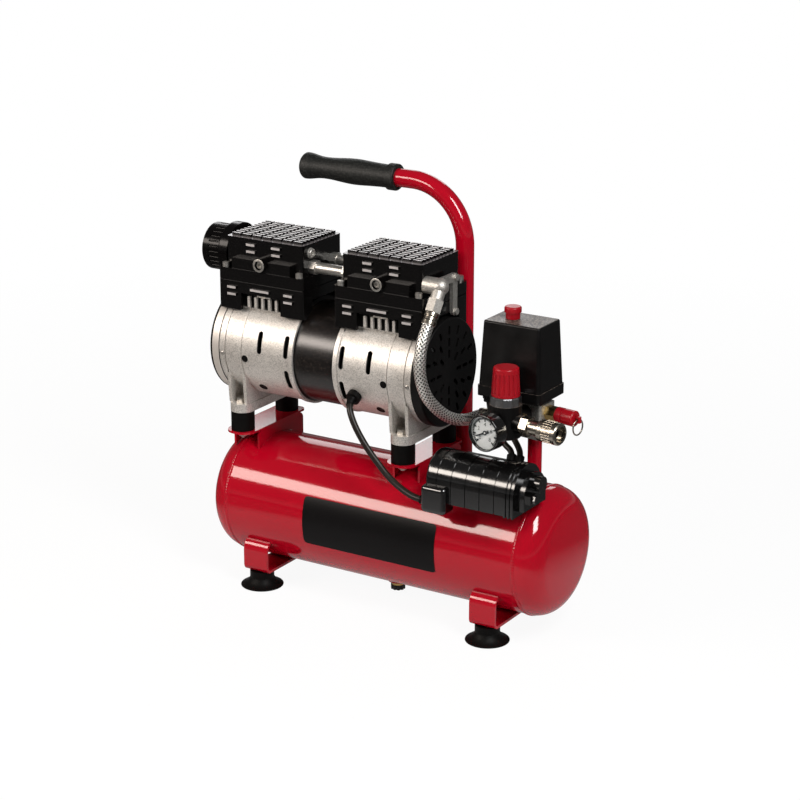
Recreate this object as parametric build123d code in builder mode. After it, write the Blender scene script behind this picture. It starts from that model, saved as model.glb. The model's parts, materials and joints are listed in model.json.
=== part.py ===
from build123d import *
import os
from math import atan2, cos, degrees, radians, sin, sqrt, tan

os.makedirs("parts", exist_ok=True)

# A small oil-free workshop compressor: a two-cylinder pump on a lying tank.
# X runs along the tank, -Y is the front and Z is up. The origin lies on the floor under the
# middle of the machine's box, and all places below are counted from the tank's middle.
tank_x = 6.6
tank_y = 4.4

# Fits and seats
weld_gap = 0.1
seat_gap = 0.3
running_fit = 0.05

# Tank
tank_radius = 70.0
tank_wall = 2.0
shell_length = 364.0
knuckle_radius = 27.0
crown_radius = 490.0
port_radius = 11.0
port_height = 4.0

# Feet and the straps that carry them
foot_height = 18.0
foot_radius = 23.8
foot_neck_radius = 13.5
foot_neck_z = 10.0
foot_lip = 1.6
foot_cup_radius = 16.0
foot_cup_depth = 3.0
foot_x = 145.0
foot_y = 54.5
strap_width = 31.0
strap_thickness = 3.0
strap_bend = 6.0
strap_hook_bend = 13.0
strap_half = 67.0
strap_rise = 37.0
strap_hook = 16.0

# Motor brackets and rubber dampers
deck_rise = 13.2
deck_width = 34.0
deck_half = 57.0
deck_nose = 14.0
deck_heel = 7.0
deck_sheet = 2.5
deck_flange_front = 36.0
damper_y = 42.4
damper_radius = 13.0
damper_height = 22.0
damper_bolt_radius = 7.0
damper_bolt = 5.0
axis_rise = 61.0

# Pump, counted from its own middle along the shaft
pump_x = -71.4
stator_length = 52.0
stator_radius = 55.5
air_gap = 0.5
crankcase_length = 97.0
crankcase_radius = 58.0
crankcase_wall = 4.0
crankcase_lip = 1.5
crankcase_lip_width = 5.0
seam_inset = 30.0
seam_width = 0.8
seam_depth = 0.8
rim_inset = 9.0
foot_bar_radius = 13.3
foot_bar_height = 10.0
foot_rib = 4.0
foot_rib_offset = 10.0
foot_rib_low = 50.0
foot_rib_high = 54.0
foot_rib_rise = 44.0
damper_offset = 104.2
cylinder_offset = 74.7
bearing_width = 12.0
bearing_radius = 20.0
bearing_inset = 8.0
spider_window_radius = 9.0
spider_windows = 6
fan_cover_radius = 59.0
fan_cover_length = 12.0
fan_cover_wall = 2.0

# Vents: circumferential slots and round holes, angles up from the front
slot_width = 6.0
slot_length = 25.0
slot_inner_inset = 9.5
slot_outer_inset = 44.0
slot_high_angle = 14.5
slot_low_angle = -24.0
vent_radius = 3.4
vent_high_inset = 63.0
vent_high_angle = -6.0
vent_low_inset = 50.0
vent_low_angle = -44.0
grommet_inset = 24.5
grommet_angle = -26.0
grommet_radius = 8.0
grommet_bore = 3.6
grommet_length = 6.5

# Rotor, cranks and fans
shaft_radius = 8.5
rotor_radius = 30.0
rotor_length = 48.0
stroke = 16.0
crank_width = 10.0
crank_radius = 22.0
counterweight_radius = 44.0
outer_crank_width = 6.7
pin_radius = 7.5
pin_length = 20.7
fan_radius = 49.0
fan_width = 12.0
fan_hub_radius = 12.0
fan_blades = 7
fan_blade_thickness = 2.0
fan_blade_pitch = 35.0
stub_radius = 6.0
fan_gap = 11.0

# Cylinders and pistons
bore_radius = 31.8
piston_thickness = 9.0
bump_clearance = 0.5
sleeve_wall = 3.2
sleeve_spigot = 8.0
sleeve_fin_radius = 41.0
sleeve_fin = 2.4
sleeve_fins = 4
big_end_radius = 20.0
big_end_width = 14.0
big_end_bearing_radius = 13.0
shank_width = 20.0
shank_thickness = 10.0

# Cylinder blocks and heads, heights above the shaft
pad_rise = 60.0
pad_length = 78.0
pad_width = 74.0
pad_fin = 3.0
pad_fin_height = 12.0
pad_fin_reach = 6.0
pad_fin_pitch = 9.0
pad_fins = 5
block_length = 111.0
block_width = 92.0
block_bottom = 44.5
block_top = 84.5
block_wall = 4.0
block_roof = 5.0
block_window = 52.0
block_window_rise = 19.0
block_side_window = 56.0
block_groove = 1.2
block_groove_drop = 9.0
plate_thickness = 5.0
head_end_ledge = 6.0
head_side_ledge = 8.0
head_height = 33.5
head_corner = 4.0
rib_height = 3.0
rib_length = 10.5
rib_width = 3.2
rib_pitch_x = 13.4
rib_pitch_y = 6.9
rib_columns = 7
rib_rows = 10
face_rib_length = 11.0
face_rib_height = 2.6
face_rib_reach = 2.4
face_rib_pitch = 7.6
face_rib_offset = 16.5
boss_radius = 8.0
boss_bore = 4.6
boss_reach = 11.0
boss_rise = 97.8
bridge_length = 76.0
bridge_height = 12.0
bridge_reach = 7.0
bolt_radius = 3.8
bolt_height = 5.0
bolt_inset = 7.5

# Pipes between and beside the heads
crossover_radius = 6.0
crossover_y = 20.0
crossover_rise = 97.5
crossover_nut_radius = 8.2
crossover_nut = 8.0
filter_rise = 98.5
filter_neck_radius = 8.5
filter_neck = 6.5
filter_base_radius = 30.0
filter_base = 12.5
filter_cover_radius = 26.0
filter_cover = 23.5
filter_dish = 5.0
filter_ribs = 28
elbow_y = -30.0
elbow_rise = 101.0
elbow_reach = 17.5
elbow_radius = 9.0
elbow_flange = 4.0
elbow_flange_length = 46.0
elbow_flange_width = 9.0
elbow_flange_y = 12.2
elbow_flange_rise = 82.5
elbow_bolt_radius = 3.8
elbow_bolt = 3.0
elbow_leg = 15.0
elbow_leg_radius = 7.0
elbow_slope = 34.0
hose_nut = 14.0
hose_nut_radius = 9.0
hose_radius = 6.3
hose_lead = 12.0

# Handle
handle_x = 41.0
handle_y = 69.5
handle_top = 452.0
handle_radius = 10.0
handle_wall = 2.0
handle_bend = 65.0
handle_foot = 96.0
grip_left = -165.5
grip_length = 122.5
grip_end_radius = 14.7
grip_waist_radius = 12.6
grip_swell_radius = 14.0
grip_flange = 10.0
grip_end_wall = 4.0

# Drain valve under the tank
drain_x = 0.0
drain_body_radius = 7.0
drain_body = 4.0
drain_knob_radius = 8.0
drain_knob = 5.0
drain_stem_radius = 2.5

# Riser and manifold, turned about the riser
riser_x = 168.0
riser_radius = 7.5
riser_bore = 5.5
riser_length = 51.0
valve_turn = -8.5
manifold_left = 30.0
manifold_right = 16.0
manifold_half = 13.0
manifold_height = 38.0
check_radius = 9.0
check_length = 27.0
check_drop = 9.0
regulator_rise = 26.5
regulator_out = 45.5
regulator_left = 4.1
regulator_radius = 17.0
regulator_below = 17.0
regulator_above = 18.5
outlet_radius = 9.5
gauge_boss_radius = 7.0
port_reach = 24.0
bonnet_radius = 16.6
bonnet_sides = 12
bonnet_height = 9.0
spindle_radius = 4.0
spindle_length = 18.0
regulator_knob_bottom = 14.8
regulator_knob_top = 13.2
regulator_knob_height = 30.0
regulator_knob_wall = 3.0
regulator_grooves = 18
regulator_groove = 1.1

# Pressure gauge
gauge_radius = 19.3
gauge_depth = 18.0
gauge_reach = 19.0
gauge_drop = 4.7
gauge_bezel = 1.8
gauge_recess = 5.0
gauge_dial = 1.0
gauge_lens = 1.2
needle_length = 13.0
needle_rest = 205.0
needle_tail = 5.0
needle_width = 1.6
needle_thickness = 0.8
needle_hub_radius = 2.4
needle_pin_radius = 1.0

# Quick coupler
coupler_hex_radius = 11.0
coupler_hex = 9.0
coupler_neck_radius = 8.0
coupler_length = 40.0
coupler_bore = 5.2
coupler_bore_depth = 22.0
sleeve_radius = 11.6
sleeve_length = 24.0
sleeve_overhang = 6.0
sleeve_grooves = 24

# Safety valve
safety_rise = 28.6
safety_hex_radius = 8.0
safety_hex = 12.0
safety_neck_radius = 5.0
safety_neck = 10.0
safety_cap_radius = 8.4
safety_cap = 23.0
safety_lug = 6.0
safety_lug_width = 3.6
safety_lug_height = 7.0
safety_hole = 1.6
ring_radius = 8.2
ring_wire = 0.8

# Pressure switch
switch_x = 149.5
switch_y = 1.2
switch_length = 74.0
switch_width = 56.0
switch_base = 11.0
switch_nipple = 4.0
switch_nipple_radius = 8.0
switch_cover = 69.0
switch_top_length = 65.8
switch_top_width = 46.0
switch_wall = 2.5
switch_lip = 1.0
switch_knob_x = 139.5
switch_stem_radius = 5.0
switch_knob_radius = 9.0
switch_knob_cap = 6.0
switch_neck_radius = 7.6
switch_neck = 6.8
switch_travel = 6.0
gland_radius = 6.0
gland_x = 122.0
gland_y = -16.0
gland_step = 12.5
gland_length = 8.0
mains_gland_radius = 5.0
mains_gland = 14.0
unloader_radius = 2.5

# Capacitor on the tank's front shoulder, in a case that is round above and straight below
capacitor_x = 86.0
capacitor_lean = 34.1
capacitor_gap = 2.7
capacitor_radius = 29.0
capacitor_skirt = 19.5
capacitor_length = 105.0
capacitor_corner = 4.0
capacitor_groove = 1.4
capacitor_groove_depth = 0.7
capacitor_groove_pitch = 17.0
end_rings = 3
end_ring = 2.0
end_ring_pitch = 4.5
end_ring_height = 1.2
end_cap = 9.0
end_cap_inset = 6.0
end_boss_radius = 9.0
end_boss_rise = 11.0
ear_length = 16.0
ear_width = 13.0
ear_height = 9.0
ear_reach = 16.0
ear_bolt_radius = 4.5
ear_bolt = 3.5
entry_length = 30.0
entry_inset = -2.0
entry_width = 22.0
entry_height = 30.0
entry_reach = 25.0
entry_drop = 16.5
entry_corner = 5.0
entry_cable_reach = 23.0
entry_cable_drop = 23.0
saddle_length = 62.0
saddle_width = 16.0
saddle_back = 17.0

# Cables
motor_cable_radius = 3.5
switch_cable_radius = 3.2
cable_lead = 6.0
cable_seat_angle = 35.0

# Values worked out from those above
tank_z = foot_height + strap_thickness + seat_gap + tank_radius
tank_top = tank_z + tank_radius
deck_z = tank_top + deck_rise
foot_bar_z = deck_z + damper_height
foot_bar_top = foot_bar_z + foot_bar_height
pump_z = foot_bar_top + axis_rise
knuckle_x = shell_length / 2
crown_drop = sqrt((crown_radius - knuckle_radius) ** 2 - (tank_radius - knuckle_radius) ** 2)
crown_x = knuckle_x - crown_drop
crown_angle = degrees(atan2(tank_radius - knuckle_radius, crown_drop))
stator_half = stator_length / 2
case_end = stator_half + crankcase_length
crank_throw = stroke / 2
pin_start = cylinder_offset - pin_length / 2
crank_start = pin_start - seat_gap - crank_width
outer_crank_start = pin_start + pin_length + seat_gap
fan_start = outer_crank_start + outer_crank_width + fan_gap
crown_z = pump_z + block_top - bump_clearance
plate_z = pump_z + block_top
ledge_z = plate_z + plate_thickness
head_length = block_length - 2 * head_end_ledge
head_width = block_width - 2 * head_side_ledge
left_head_x = pump_x - cylinder_offset
right_head_x = pump_x + cylinder_offset
manifold_z = tank_top + port_height + riser_length
switch_z = manifold_z + manifold_height + switch_nipple
capacitor_distance = tank_radius + capacitor_gap + capacitor_radius
capacitor_y = -capacitor_distance * sin(radians(capacitor_lean))
capacitor_z = tank_z + capacitor_distance * cos(radians(capacitor_lean))

from_base = (Align.CENTER, Align.CENTER, Align.MIN)


def upright(x, y, z):
    return Plane(origin=(tank_x + x, tank_y + y, z))


def facing_right(x, y, z):
    return Plane(origin=(tank_x + x, tank_y + y, z), x_dir=(0, 1, 0), z_dir=(1, 0, 0))


def facing_left(x, y, z):
    return Plane(origin=(tank_x + x, tank_y + y, z), x_dir=(0, -1, 0), z_dir=(-1, 0, 0))


def facing_front(x, y, z):
    return Plane(origin=(tank_x + x, tank_y + y, z), x_dir=(1, 0, 0), z_dir=(0, -1, 0))


def rod(plane, radius, length, mode=Mode.ADD):
    with Locations(plane):
        Cylinder(radius, length, align=from_base, mode=mode)


def block(plane, length, width, height, mode=Mode.ADD):
    with Locations(plane):
        Box(length, width, height, align=from_base, mode=mode)


def hexagon(plane, radius, length):
    with BuildSketch(plane) as outline:
        RegularPolygon(radius, 6)
    extrude(outline.sketch, amount=length)


def cut_tank(clearance):
    rod(facing_right(-shell_length, 0, tank_z), tank_radius + clearance, 2 * shell_length, Mode.SUBTRACT)


def save(piece, name):
    piece.part.label = name
    export_step(piece.part, f"parts/{name}.step")


# Tank shell with its welded ports
tank_axis = Axis((tank_x, tank_y, tank_z), (1, 0, 0))
shell_plane = facing_right(-knuckle_x, 0, tank_z)
drain_port_z = tank_z - tank_radius - port_height

with BuildPart() as tank_shell:
    rod(shell_plane, tank_radius, shell_length)
    rod(upright(riser_x, 0, tank_z), port_radius, tank_radius + port_height)
    rod(upright(drain_x, 0, drain_port_z), port_radius, tank_radius)
    rod(shell_plane, tank_radius - tank_wall, shell_length, Mode.SUBTRACT)
    rod(upright(riser_x, 0, tank_z), riser_bore, tank_radius + port_height, Mode.SUBTRACT)
    rod(upright(drain_x, 0, drain_port_z), drain_stem_radius, tank_radius, Mode.SUBTRACT)
save(tank_shell, "tank_shell")

# Dished ends: a flat crown rolled into a knuckle, butted to the shell
with BuildPart() as dished_end:
    with BuildSketch(facing_front(0, 0, tank_z)):
        with BuildLine():
            rim = Line((knuckle_x, 0), (knuckle_x, tank_radius))
            CenterArc((knuckle_x, tank_radius - knuckle_radius), knuckle_radius, 90, crown_angle - 90)
            crown = CenterArc((crown_x, 0), crown_radius, crown_angle, -crown_angle)
            Line(crown @ 1, rim @ 0)
        make_face()
    revolve(axis=tank_axis)
    offset(amount=-tank_wall, openings=dished_end.faces().sort_by(Axis.X)[0])

with BuildPart() as tank_ends:
    add(dished_end.part)
    mirror(dished_end.part, about=Plane.YZ.offset(tank_x))
save(tank_ends, "tank_ends")

# Foot straps: bent strip under the tank, its ends hooked over to meet the shell
strap_y = strap_half - strap_thickness / 2
strap_z = foot_height + strap_thickness / 2
hook_z = foot_height + strap_rise
hook_y = strap_half - strap_hook

with BuildPart() as foot_straps:
    for x in (-foot_x, foot_x):
        with BuildSketch(facing_right(x - strap_width / 2, 0, 0)):
            with BuildLine() as bend_line:
                FilletPolyline(
                    (-hook_y, hook_z),
                    (-strap_y, hook_z),
                    (-strap_y, strap_z),
                    (strap_y, strap_z),
                    (strap_y, hook_z),
                    (hook_y, hook_z),
                    radius=(strap_hook_bend, strap_bend, strap_bend, strap_hook_bend),
                )
            trace(bend_line.edges(), line_width=strap_thickness)
        extrude(amount=strap_width)
    cut_tank(weld_gap)
save(foot_straps, "foot_straps")

# Rubber feet: suction-cup skirts under a short neck
with BuildPart() as rubber_feet:
    for x in (-foot_x, foot_x):
        for y in (-foot_y, foot_y):
            with BuildSketch(facing_front(x, y, 0)):
                with BuildLine():
                    floor_line = Line((foot_cup_radius, 0), (foot_radius - foot_lip / 2, 0))
                    lip = ThreePointArc(
                        floor_line @ 1, (foot_radius, foot_lip / 2), (foot_radius - foot_lip / 2, foot_lip)
                    )
                    mid = (foot_neck_radius + (foot_radius - foot_neck_radius) / 3, foot_neck_z / 2)
                    skirt = ThreePointArc(lip @ 1, mid, (foot_neck_radius, foot_neck_z))
                    Polyline(
                        skirt @ 1,
                        (foot_neck_radius, foot_height),
                        (0, foot_height),
                        (0, foot_cup_depth),
                        floor_line @ 0,
                    )
                make_face()
            revolve(axis=Axis((tank_x + x, tank_y + y, 0), (0, 0, 1)))
save(rubber_feet, "rubber_feet")

# Motor brackets: decks on two flanges that are cut to the tank
with BuildPart() as motor_brackets:
    for x in (pump_x - damper_offset, pump_x + damper_offset):
        with BuildSketch(upright(x, 0, deck_z - deck_sheet)) as deck:
            Rectangle(deck_width, 2 * deck_half)
            fillet(deck.vertices().group_by(Axis.Y)[0], deck_nose)
            fillet(deck.vertices().group_by(Axis.Y)[-1], deck_heel)
        extrude(amount=deck_sheet)
        for flange_x in (x - deck_width / 2, x + deck_width / 2 - deck_sheet):
            with BuildSketch(facing_right(flange_x, 0, 0)):
                with BuildLine():
                    FilletPolyline(
                        (-deck_flange_front, deck_z - deck_sheet),
                        (-deck_flange_front, tank_z),
                        (deck_half - deck_heel, tank_z),
                        (deck_half - deck_heel, deck_z - deck_sheet),
                        radius=deck_heel,
                        close=True,
                    )
                make_face()
            extrude(amount=deck_sheet)
    cut_tank(weld_gap)
save(motor_brackets, "motor_brackets")

damper_places = [(pump_x + s * damper_offset, y) for s in (-1, 1) for y in (-damper_y, damper_y)]

with BuildPart() as rubber_dampers:
    for x, y in damper_places:
        rod(upright(x, y, deck_z), damper_radius, damper_height)
save(rubber_dampers, "rubber_dampers")

with BuildPart() as damper_bolts:
    for x, y in damper_places:
        hexagon(upright(x, y, foot_bar_top), damper_bolt_radius, damper_bolt)
save(damper_bolts, "damper_bolts")

# Motor: stator between two crankcases
with BuildPart() as stator:
    rod(facing_right(pump_x - stator_half, 0, pump_z), stator_radius, stator_length)
    rod(
        facing_right(pump_x - stator_half, 0, pump_z),
        rotor_radius + air_gap,
        stator_length,
        Mode.SUBTRACT,
    )
save(stator, "stator")


def wall_plane(x, angle, radius):
    tilt = radians(angle)
    out = (0, -cos(tilt), sin(tilt))
    return Plane(
        origin=(tank_x + x, tank_y + radius * out[1], pump_z + radius * out[2]),
        x_dir=(0, sin(tilt), cos(tilt)),
        z_dir=out,
    )


def vent(x, angle, sketch_maker):
    for turn in (angle, 180 - angle):
        with BuildSketch(wall_plane(x, turn, bore - crankcase_lip)) as outline:
            sketch_maker()
        extrude(outline.sketch, amount=crankcase_wall + 3 * crankcase_lip, mode=Mode.SUBTRACT)


def slot_shape():
    SlotOverall(slot_length, slot_width)


def hole_shape():
    Circle(vent_radius)


def ring_cut(x, width, depth):
    with BuildSketch(facing_right(x, 0, pump_z)) as groove:
        Circle(crankcase_radius + crankcase_lip)
        Circle(crankcase_radius - depth, mode=Mode.SUBTRACT)
    extrude(groove.sketch, amount=width, mode=Mode.SUBTRACT)


bore = crankcase_radius - crankcase_wall
spider_x = pump_x + stator_half + bearing_inset
window_ring = (bearing_radius + bore) / 2
sleeve_radius_out = bore_radius + sleeve_wall
foot_x_right = pump_x + damper_offset

with BuildPart() as crankcase_right:
    rod(facing_right(pump_x + stator_half, 0, pump_z), crankcase_radius, crankcase_length)
    rod(
        facing_right(pump_x + stator_half, 0, pump_z),
        crankcase_radius + crankcase_lip,
        crankcase_lip_width,
    )
    block(upright(right_head_x, 0, pump_z), pad_length, pad_width, pad_rise)
    for step in range(pad_fins):
        fin_x = right_head_x + (step - (pad_fins - 1) / 2) * pad_fin_pitch
        fin_plane = upright(fin_x, 0, pump_z + pad_rise - pad_fin_height)
        block(fin_plane, pad_fin, pad_width + 2 * pad_fin_reach, pad_fin_height)
    with BuildSketch(upright(foot_x_right, 0, foot_bar_z)):
        SlotOverall(2 * (damper_y + foot_bar_radius), 2 * foot_bar_radius, rotation=90)
    extrude(amount=foot_bar_height)
    for rib_x in (foot_x_right - foot_rib_offset, foot_x_right + foot_rib_offset):
        with BuildSketch(facing_right(rib_x - foot_rib / 2, 0, 0)):
            with BuildLine():
                Polyline(
                    (-foot_rib_low, foot_bar_top),
                    (-foot_rib_high, foot_bar_top + foot_rib_rise),
                    (foot_rib_high, foot_bar_top + foot_rib_rise),
                    (foot_rib_low, foot_bar_top),
                    close=True,
                )
            make_face()
        extrude(amount=foot_rib)
    rod(facing_right(pump_x + stator_half, 0, pump_z), bore, crankcase_length, Mode.SUBTRACT)
    rod(facing_right(spider_x, 0, pump_z), bore + crankcase_wall / 2, bearing_width)
    rod(facing_right(spider_x, 0, pump_z), bearing_radius, bearing_width, Mode.SUBTRACT)
    with Locations(facing_right(spider_x, 0, pump_z)):
        with PolarLocations(window_ring, spider_windows):
            Cylinder(spider_window_radius, bearing_width, align=from_base, mode=Mode.SUBTRACT)
    rod(
        upright(right_head_x, 0, pump_z),
        sleeve_radius_out + running_fit,
        pad_rise,
        Mode.SUBTRACT,
    )
    for inset, angle in ((slot_inner_inset, slot_high_angle), (slot_outer_inset, slot_high_angle)):
        vent(pump_x + stator_half + inset, angle, slot_shape)
    vent(pump_x + stator_half + slot_inner_inset, slot_low_angle, slot_shape)
    vent(pump_x + stator_half + vent_high_inset, vent_high_angle, hole_shape)
    vent(pump_x + stator_half + vent_low_inset, vent_low_angle, hole_shape)
    ring_cut(pump_x + case_end - seam_inset, seam_width, seam_depth)
    ring_cut(pump_x + case_end - rim_inset, 2 * seam_width, seam_depth)

# The left crankcase is the same casting turned end for end, without the cable hole
with BuildPart() as crankcase_left:
    mirror(crankcase_right.part, about=Plane.YZ.offset(tank_x + pump_x))
save(crankcase_left, "crankcase_left")

grommet_plane = wall_plane(pump_x + stator_half + grommet_inset, grommet_angle, bore)
with BuildPart() as crankcase_cut:
    add(crankcase_right.part)
    rod(grommet_plane, grommet_radius - seat_gap, 2 * crankcase_wall, Mode.SUBTRACT)
save(crankcase_cut, "crankcase_right")

with BuildPart() as cable_grommet:
    rod(grommet_plane, grommet_radius - seat_gap - running_fit, crankcase_wall + 1)
    rod(grommet_plane.offset(crankcase_wall + 1), grommet_radius, grommet_length - 1)
    rod(grommet_plane, grommet_bore + running_fit, crankcase_wall + grommet_length, Mode.SUBTRACT)
save(cable_grommet, "cable_grommet")

# Fan covers: shallow cups with a ring grille
with BuildPart() as fan_cover:
    rod(facing_right(pump_x + case_end, 0, pump_z), fan_cover_radius, fan_cover_length)
    outer_rim = fan_cover.edges().filter_by(GeomType.CIRCLE).group_by(Axis.X)[-1]
    fillet(outer_rim, fan_cover_wall)
    rod(
        facing_right(pump_x + case_end, 0, pump_z),
        fan_cover_radius - fan_cover_wall,
        fan_cover_length - fan_cover_wall,
        Mode.SUBTRACT,
    )
    grille_plane = facing_right(pump_x + case_end + fan_cover_length - 2 * fan_cover_wall, 0, pump_z)
    for share, count in ((0.34, 8), (0.56, 12), (0.78, 16)):
        ring = share * fan_cover_radius
        with BuildSketch(grille_plane):
            with PolarLocations(ring, count):
                SlotOverall(0.17 * fan_cover_radius, 2 * fan_cover_wall)
        extrude(amount=3 * fan_cover_wall, mode=Mode.SUBTRACT)

with BuildPart() as fan_covers:
    add(fan_cover.part)
    mirror(fan_cover.part, about=Plane.YZ.offset(tank_x + pump_x))
save(fan_covers, "fan_covers")

# Rotor: shaft, core, cranks and fans turn together
with BuildPart() as motor_shaft:
    rod(facing_right(pump_x - crank_start, 0, pump_z), shaft_radius, 2 * crank_start)
save(motor_shaft, "motor_shaft")

with BuildPart() as rotor_core:
    rod(facing_right(pump_x - rotor_length / 2, 0, pump_z), rotor_radius, rotor_length)
    rod(
        facing_right(pump_x - rotor_length / 2, 0, pump_z),
        shaft_radius + running_fit,
        rotor_length,
        Mode.SUBTRACT,
    )
save(rotor_core, "rotor_core")

with BuildPart() as main_bearings:
    for x in (spider_x, 2 * pump_x - spider_x - bearing_width):
        rod(facing_right(x, 0, pump_z), bearing_radius - running_fit, bearing_width)
        rod(facing_right(x, 0, pump_z), shaft_radius + running_fit, bearing_width, Mode.SUBTRACT)
save(main_bearings, "main_bearings")


def crank(start, width, weight_radius, side, up):
    with BuildSketch(facing_right(pump_x + start if side > 0 else pump_x - start - width, 0, pump_z)) as web:
        Circle(crank_radius)
        with BuildLine():
            reach = weight_radius * sin(radians(50))
            drop = weight_radius * cos(radians(50))
            arm = Line((0, 0), (-reach, -up * drop))
            sweep_arc = ThreePointArc(arm @ 1, (0, -up * weight_radius), (reach, -up * drop))
            Line(sweep_arc @ 1, arm @ 0)
        make_face()
    extrude(web.sketch, amount=width)


# The left piston stands at the top of its stroke and the right one at the bottom
with BuildPart() as cranks:
    for side in (-1, 1):
        up = -side
        crank(crank_start, crank_width, counterweight_radius, side, up)
        crank(outer_crank_start, outer_crank_width, crank_radius + stroke / 4, side, up)
        stub_start = pump_x + outer_crank_start + outer_crank_width
        stub_length = fan_start + fan_width - outer_crank_start - outer_crank_width
        if side < 0:
            stub_start = 2 * pump_x - stub_start - stub_length
        rod(facing_right(stub_start, 0, pump_z), stub_radius, stub_length)
save(cranks, "cranks")

with BuildPart() as cooling_fans:
    for side in (-1, 1):
        x = pump_x + fan_start if side > 0 else pump_x - fan_start - fan_width
        plane = facing_right(x, 0, pump_z)
        rod(plane, fan_hub_radius, fan_width)
        blade = fan_radius - fan_hub_radius + 1
        with Locations(plane.offset(fan_width / 2)):
            with PolarLocations(fan_hub_radius - 1 + blade / 2, fan_blades):
                Box(
                    blade,
                    fan_blade_thickness,
                    fan_width / cos(radians(fan_blade_pitch)) * 0.8,
                    rotation=(fan_blade_pitch, 0, 0),
                )
        rod(plane, stub_radius + running_fit, fan_width, Mode.SUBTRACT)
save(cooling_fans, "cooling_fans")

# Cylinders, pistons and crank pins
with BuildPart() as cylinder_sleeves:
    for x in (left_head_x, right_head_x):
        foot_plane = upright(x, 0, pump_z + pad_rise - sleeve_spigot)
        rod(foot_plane, sleeve_radius_out, block_top - pad_rise + sleeve_spigot)
        fin_span = block_top - block_roof - pad_rise - sleeve_fin
        for step in range(sleeve_fins):
            fin_z = pump_z + pad_rise + step * fin_span / (sleeve_fins - 1)
            rod(upright(x, 0, fin_z), sleeve_fin_radius, sleeve_fin)
        rod(foot_plane, bore_radius, block_top, Mode.SUBTRACT)
save(cylinder_sleeves, "cylinder_sleeves")

piston_top = {"left": crown_z, "right": crown_z - stroke}
pin_height = {"left": pump_z + crank_throw, "right": pump_z - crank_throw}

for name, side in (("left", -1), ("right", 1)):
    x = pump_x + side * cylinder_offset
    pin_z = pin_height[name]
    shank_top = piston_top[name] - piston_thickness
    with BuildPart() as piston:
        rod(upright(x, 0, shank_top), bore_radius - seat_gap, piston_thickness)
        block(upright(x, 0, pin_z), shank_thickness, shank_width, shank_top - pin_z)
        rod(facing_right(x - big_end_width / 2, 0, pin_z), big_end_radius, big_end_width)
        rod(
            facing_right(x - big_end_width / 2, 0, pin_z),
            big_end_bearing_radius + running_fit,
            big_end_width,
            Mode.SUBTRACT,
        )
    save(piston, f"piston_{name}")
    with BuildPart() as crank_pin:
        rod(facing_right(x - pin_length / 2, 0, pin_z), pin_radius, pin_length)
        rod(
            facing_right(x - big_end_width / 2, 0, pin_z),
            big_end_bearing_radius,
            big_end_width,
        )
    save(crank_pin, f"crank_pin_{name}")

# Cylinder blocks, valve plates and ribbed heads
block_height = block_top - block_bottom
case_clear = crankcase_radius + crankcase_lip + seat_gap

for name, x in (("left", left_head_x), ("right", right_head_x)):
    with BuildPart() as cylinder_block:
        block(upright(x, 0, pump_z + block_bottom), block_length, block_width, block_height)
        fillet(cylinder_block.edges().filter_by(Axis.Z), head_corner)
        block(
            upright(x, 0, pump_z + block_bottom),
            block_length - 2 * block_wall,
            block_width - 2 * block_wall,
            block_height - block_roof,
            Mode.SUBTRACT,
        )
        rod(upright(x, 0, pump_z), sleeve_radius_out + running_fit, 2 * block_top, Mode.SUBTRACT)
        rod(facing_right(x - block_length, 0, pump_z), case_clear, 2 * block_length, Mode.SUBTRACT)
        window_plane = upright(x, 0, pump_z + block_bottom)
        block(window_plane, block_window, 2 * block_width, block_window_rise, Mode.SUBTRACT)
        block(window_plane, 2 * block_length, block_side_window, block_window_rise, Mode.SUBTRACT)
        groove_z = pump_z + block_top - block_groove_drop
        with BuildSketch(upright(x, 0, groove_z)):
            Rectangle(block_length + 1, block_width + 1)
            Rectangle(block_length - 2 * block_groove, block_width - 2 * block_groove, mode=Mode.SUBTRACT)
        extrude(amount=block_groove, mode=Mode.SUBTRACT)
        for y in (-block_width / 2, block_width / 2):
            for step in (-1, 0, 1):
                rib_x = x + step * (block_length - block_window) / 3.2 * 2
                for row in range(2 if step else 1):
                    rib_z = groove_z - face_rib_pitch * (1 + row)
                    length = face_rib_length if step else 2.2 * face_rib_length
                    block(upright(rib_x, y, rib_z), length, 2 * face_rib_reach, face_rib_height)
    save(cylinder_block, f"cylinder_block_{name}")

    with BuildPart() as head_cover:
        block(upright(x, 0, ledge_z), head_length, head_width, head_height)
        fillet(head_cover.edges().filter_by(Axis.Z), head_corner)
        roof_z = ledge_z + head_height
        with BuildSketch(upright(x, 0, roof_z)):
            with GridLocations(rib_pitch_x, rib_pitch_y, rib_columns, rib_rows):
                Rectangle(rib_length, rib_width)
        extrude(amount=rib_height)
        for y in (-head_width / 2, head_width / 2):
            for rib_x in (x - face_rib_offset, x + face_rib_offset):
                for row in (1, 2):
                    rib_z = roof_z - row * face_rib_pitch
                    block(upright(rib_x, y, rib_z), face_rib_length, 2 * face_rib_reach, face_rib_height)
        block(upright(x, -head_width / 2, ledge_z), bridge_length, 2 * bridge_reach, bridge_height)
        rod(facing_front(x, -head_width / 2 + 1, pump_z + boss_rise), boss_radius, boss_reach + 1)
        rod(
            facing_front(x, -head_width / 2 - boss_reach / 2, pump_z + boss_rise),
            boss_bore,
            boss_reach,
            Mode.SUBTRACT,
        )
    save(head_cover, f"head_cover_{name}")

with BuildPart() as valve_plates:
    for x in (left_head_x, right_head_x):
        block(upright(x, 0, plate_z), block_length, block_width, plate_thickness)
    fillet(valve_plates.edges().filter_by(Axis.Z), head_corner)
save(valve_plates, "valve_plates")

with BuildPart() as head_bolts:
    for x in (left_head_x, right_head_x):
        with Locations(upright(x, 0, ledge_z)):
            bolt_y = block_width - (block_width - head_width) / 2
            with GridLocations(block_length - 2 * bolt_inset, bolt_y, 2, 2):
                Cylinder(bolt_radius, bolt_height, align=from_base)
save(head_bolts, "head_bolts")

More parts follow.
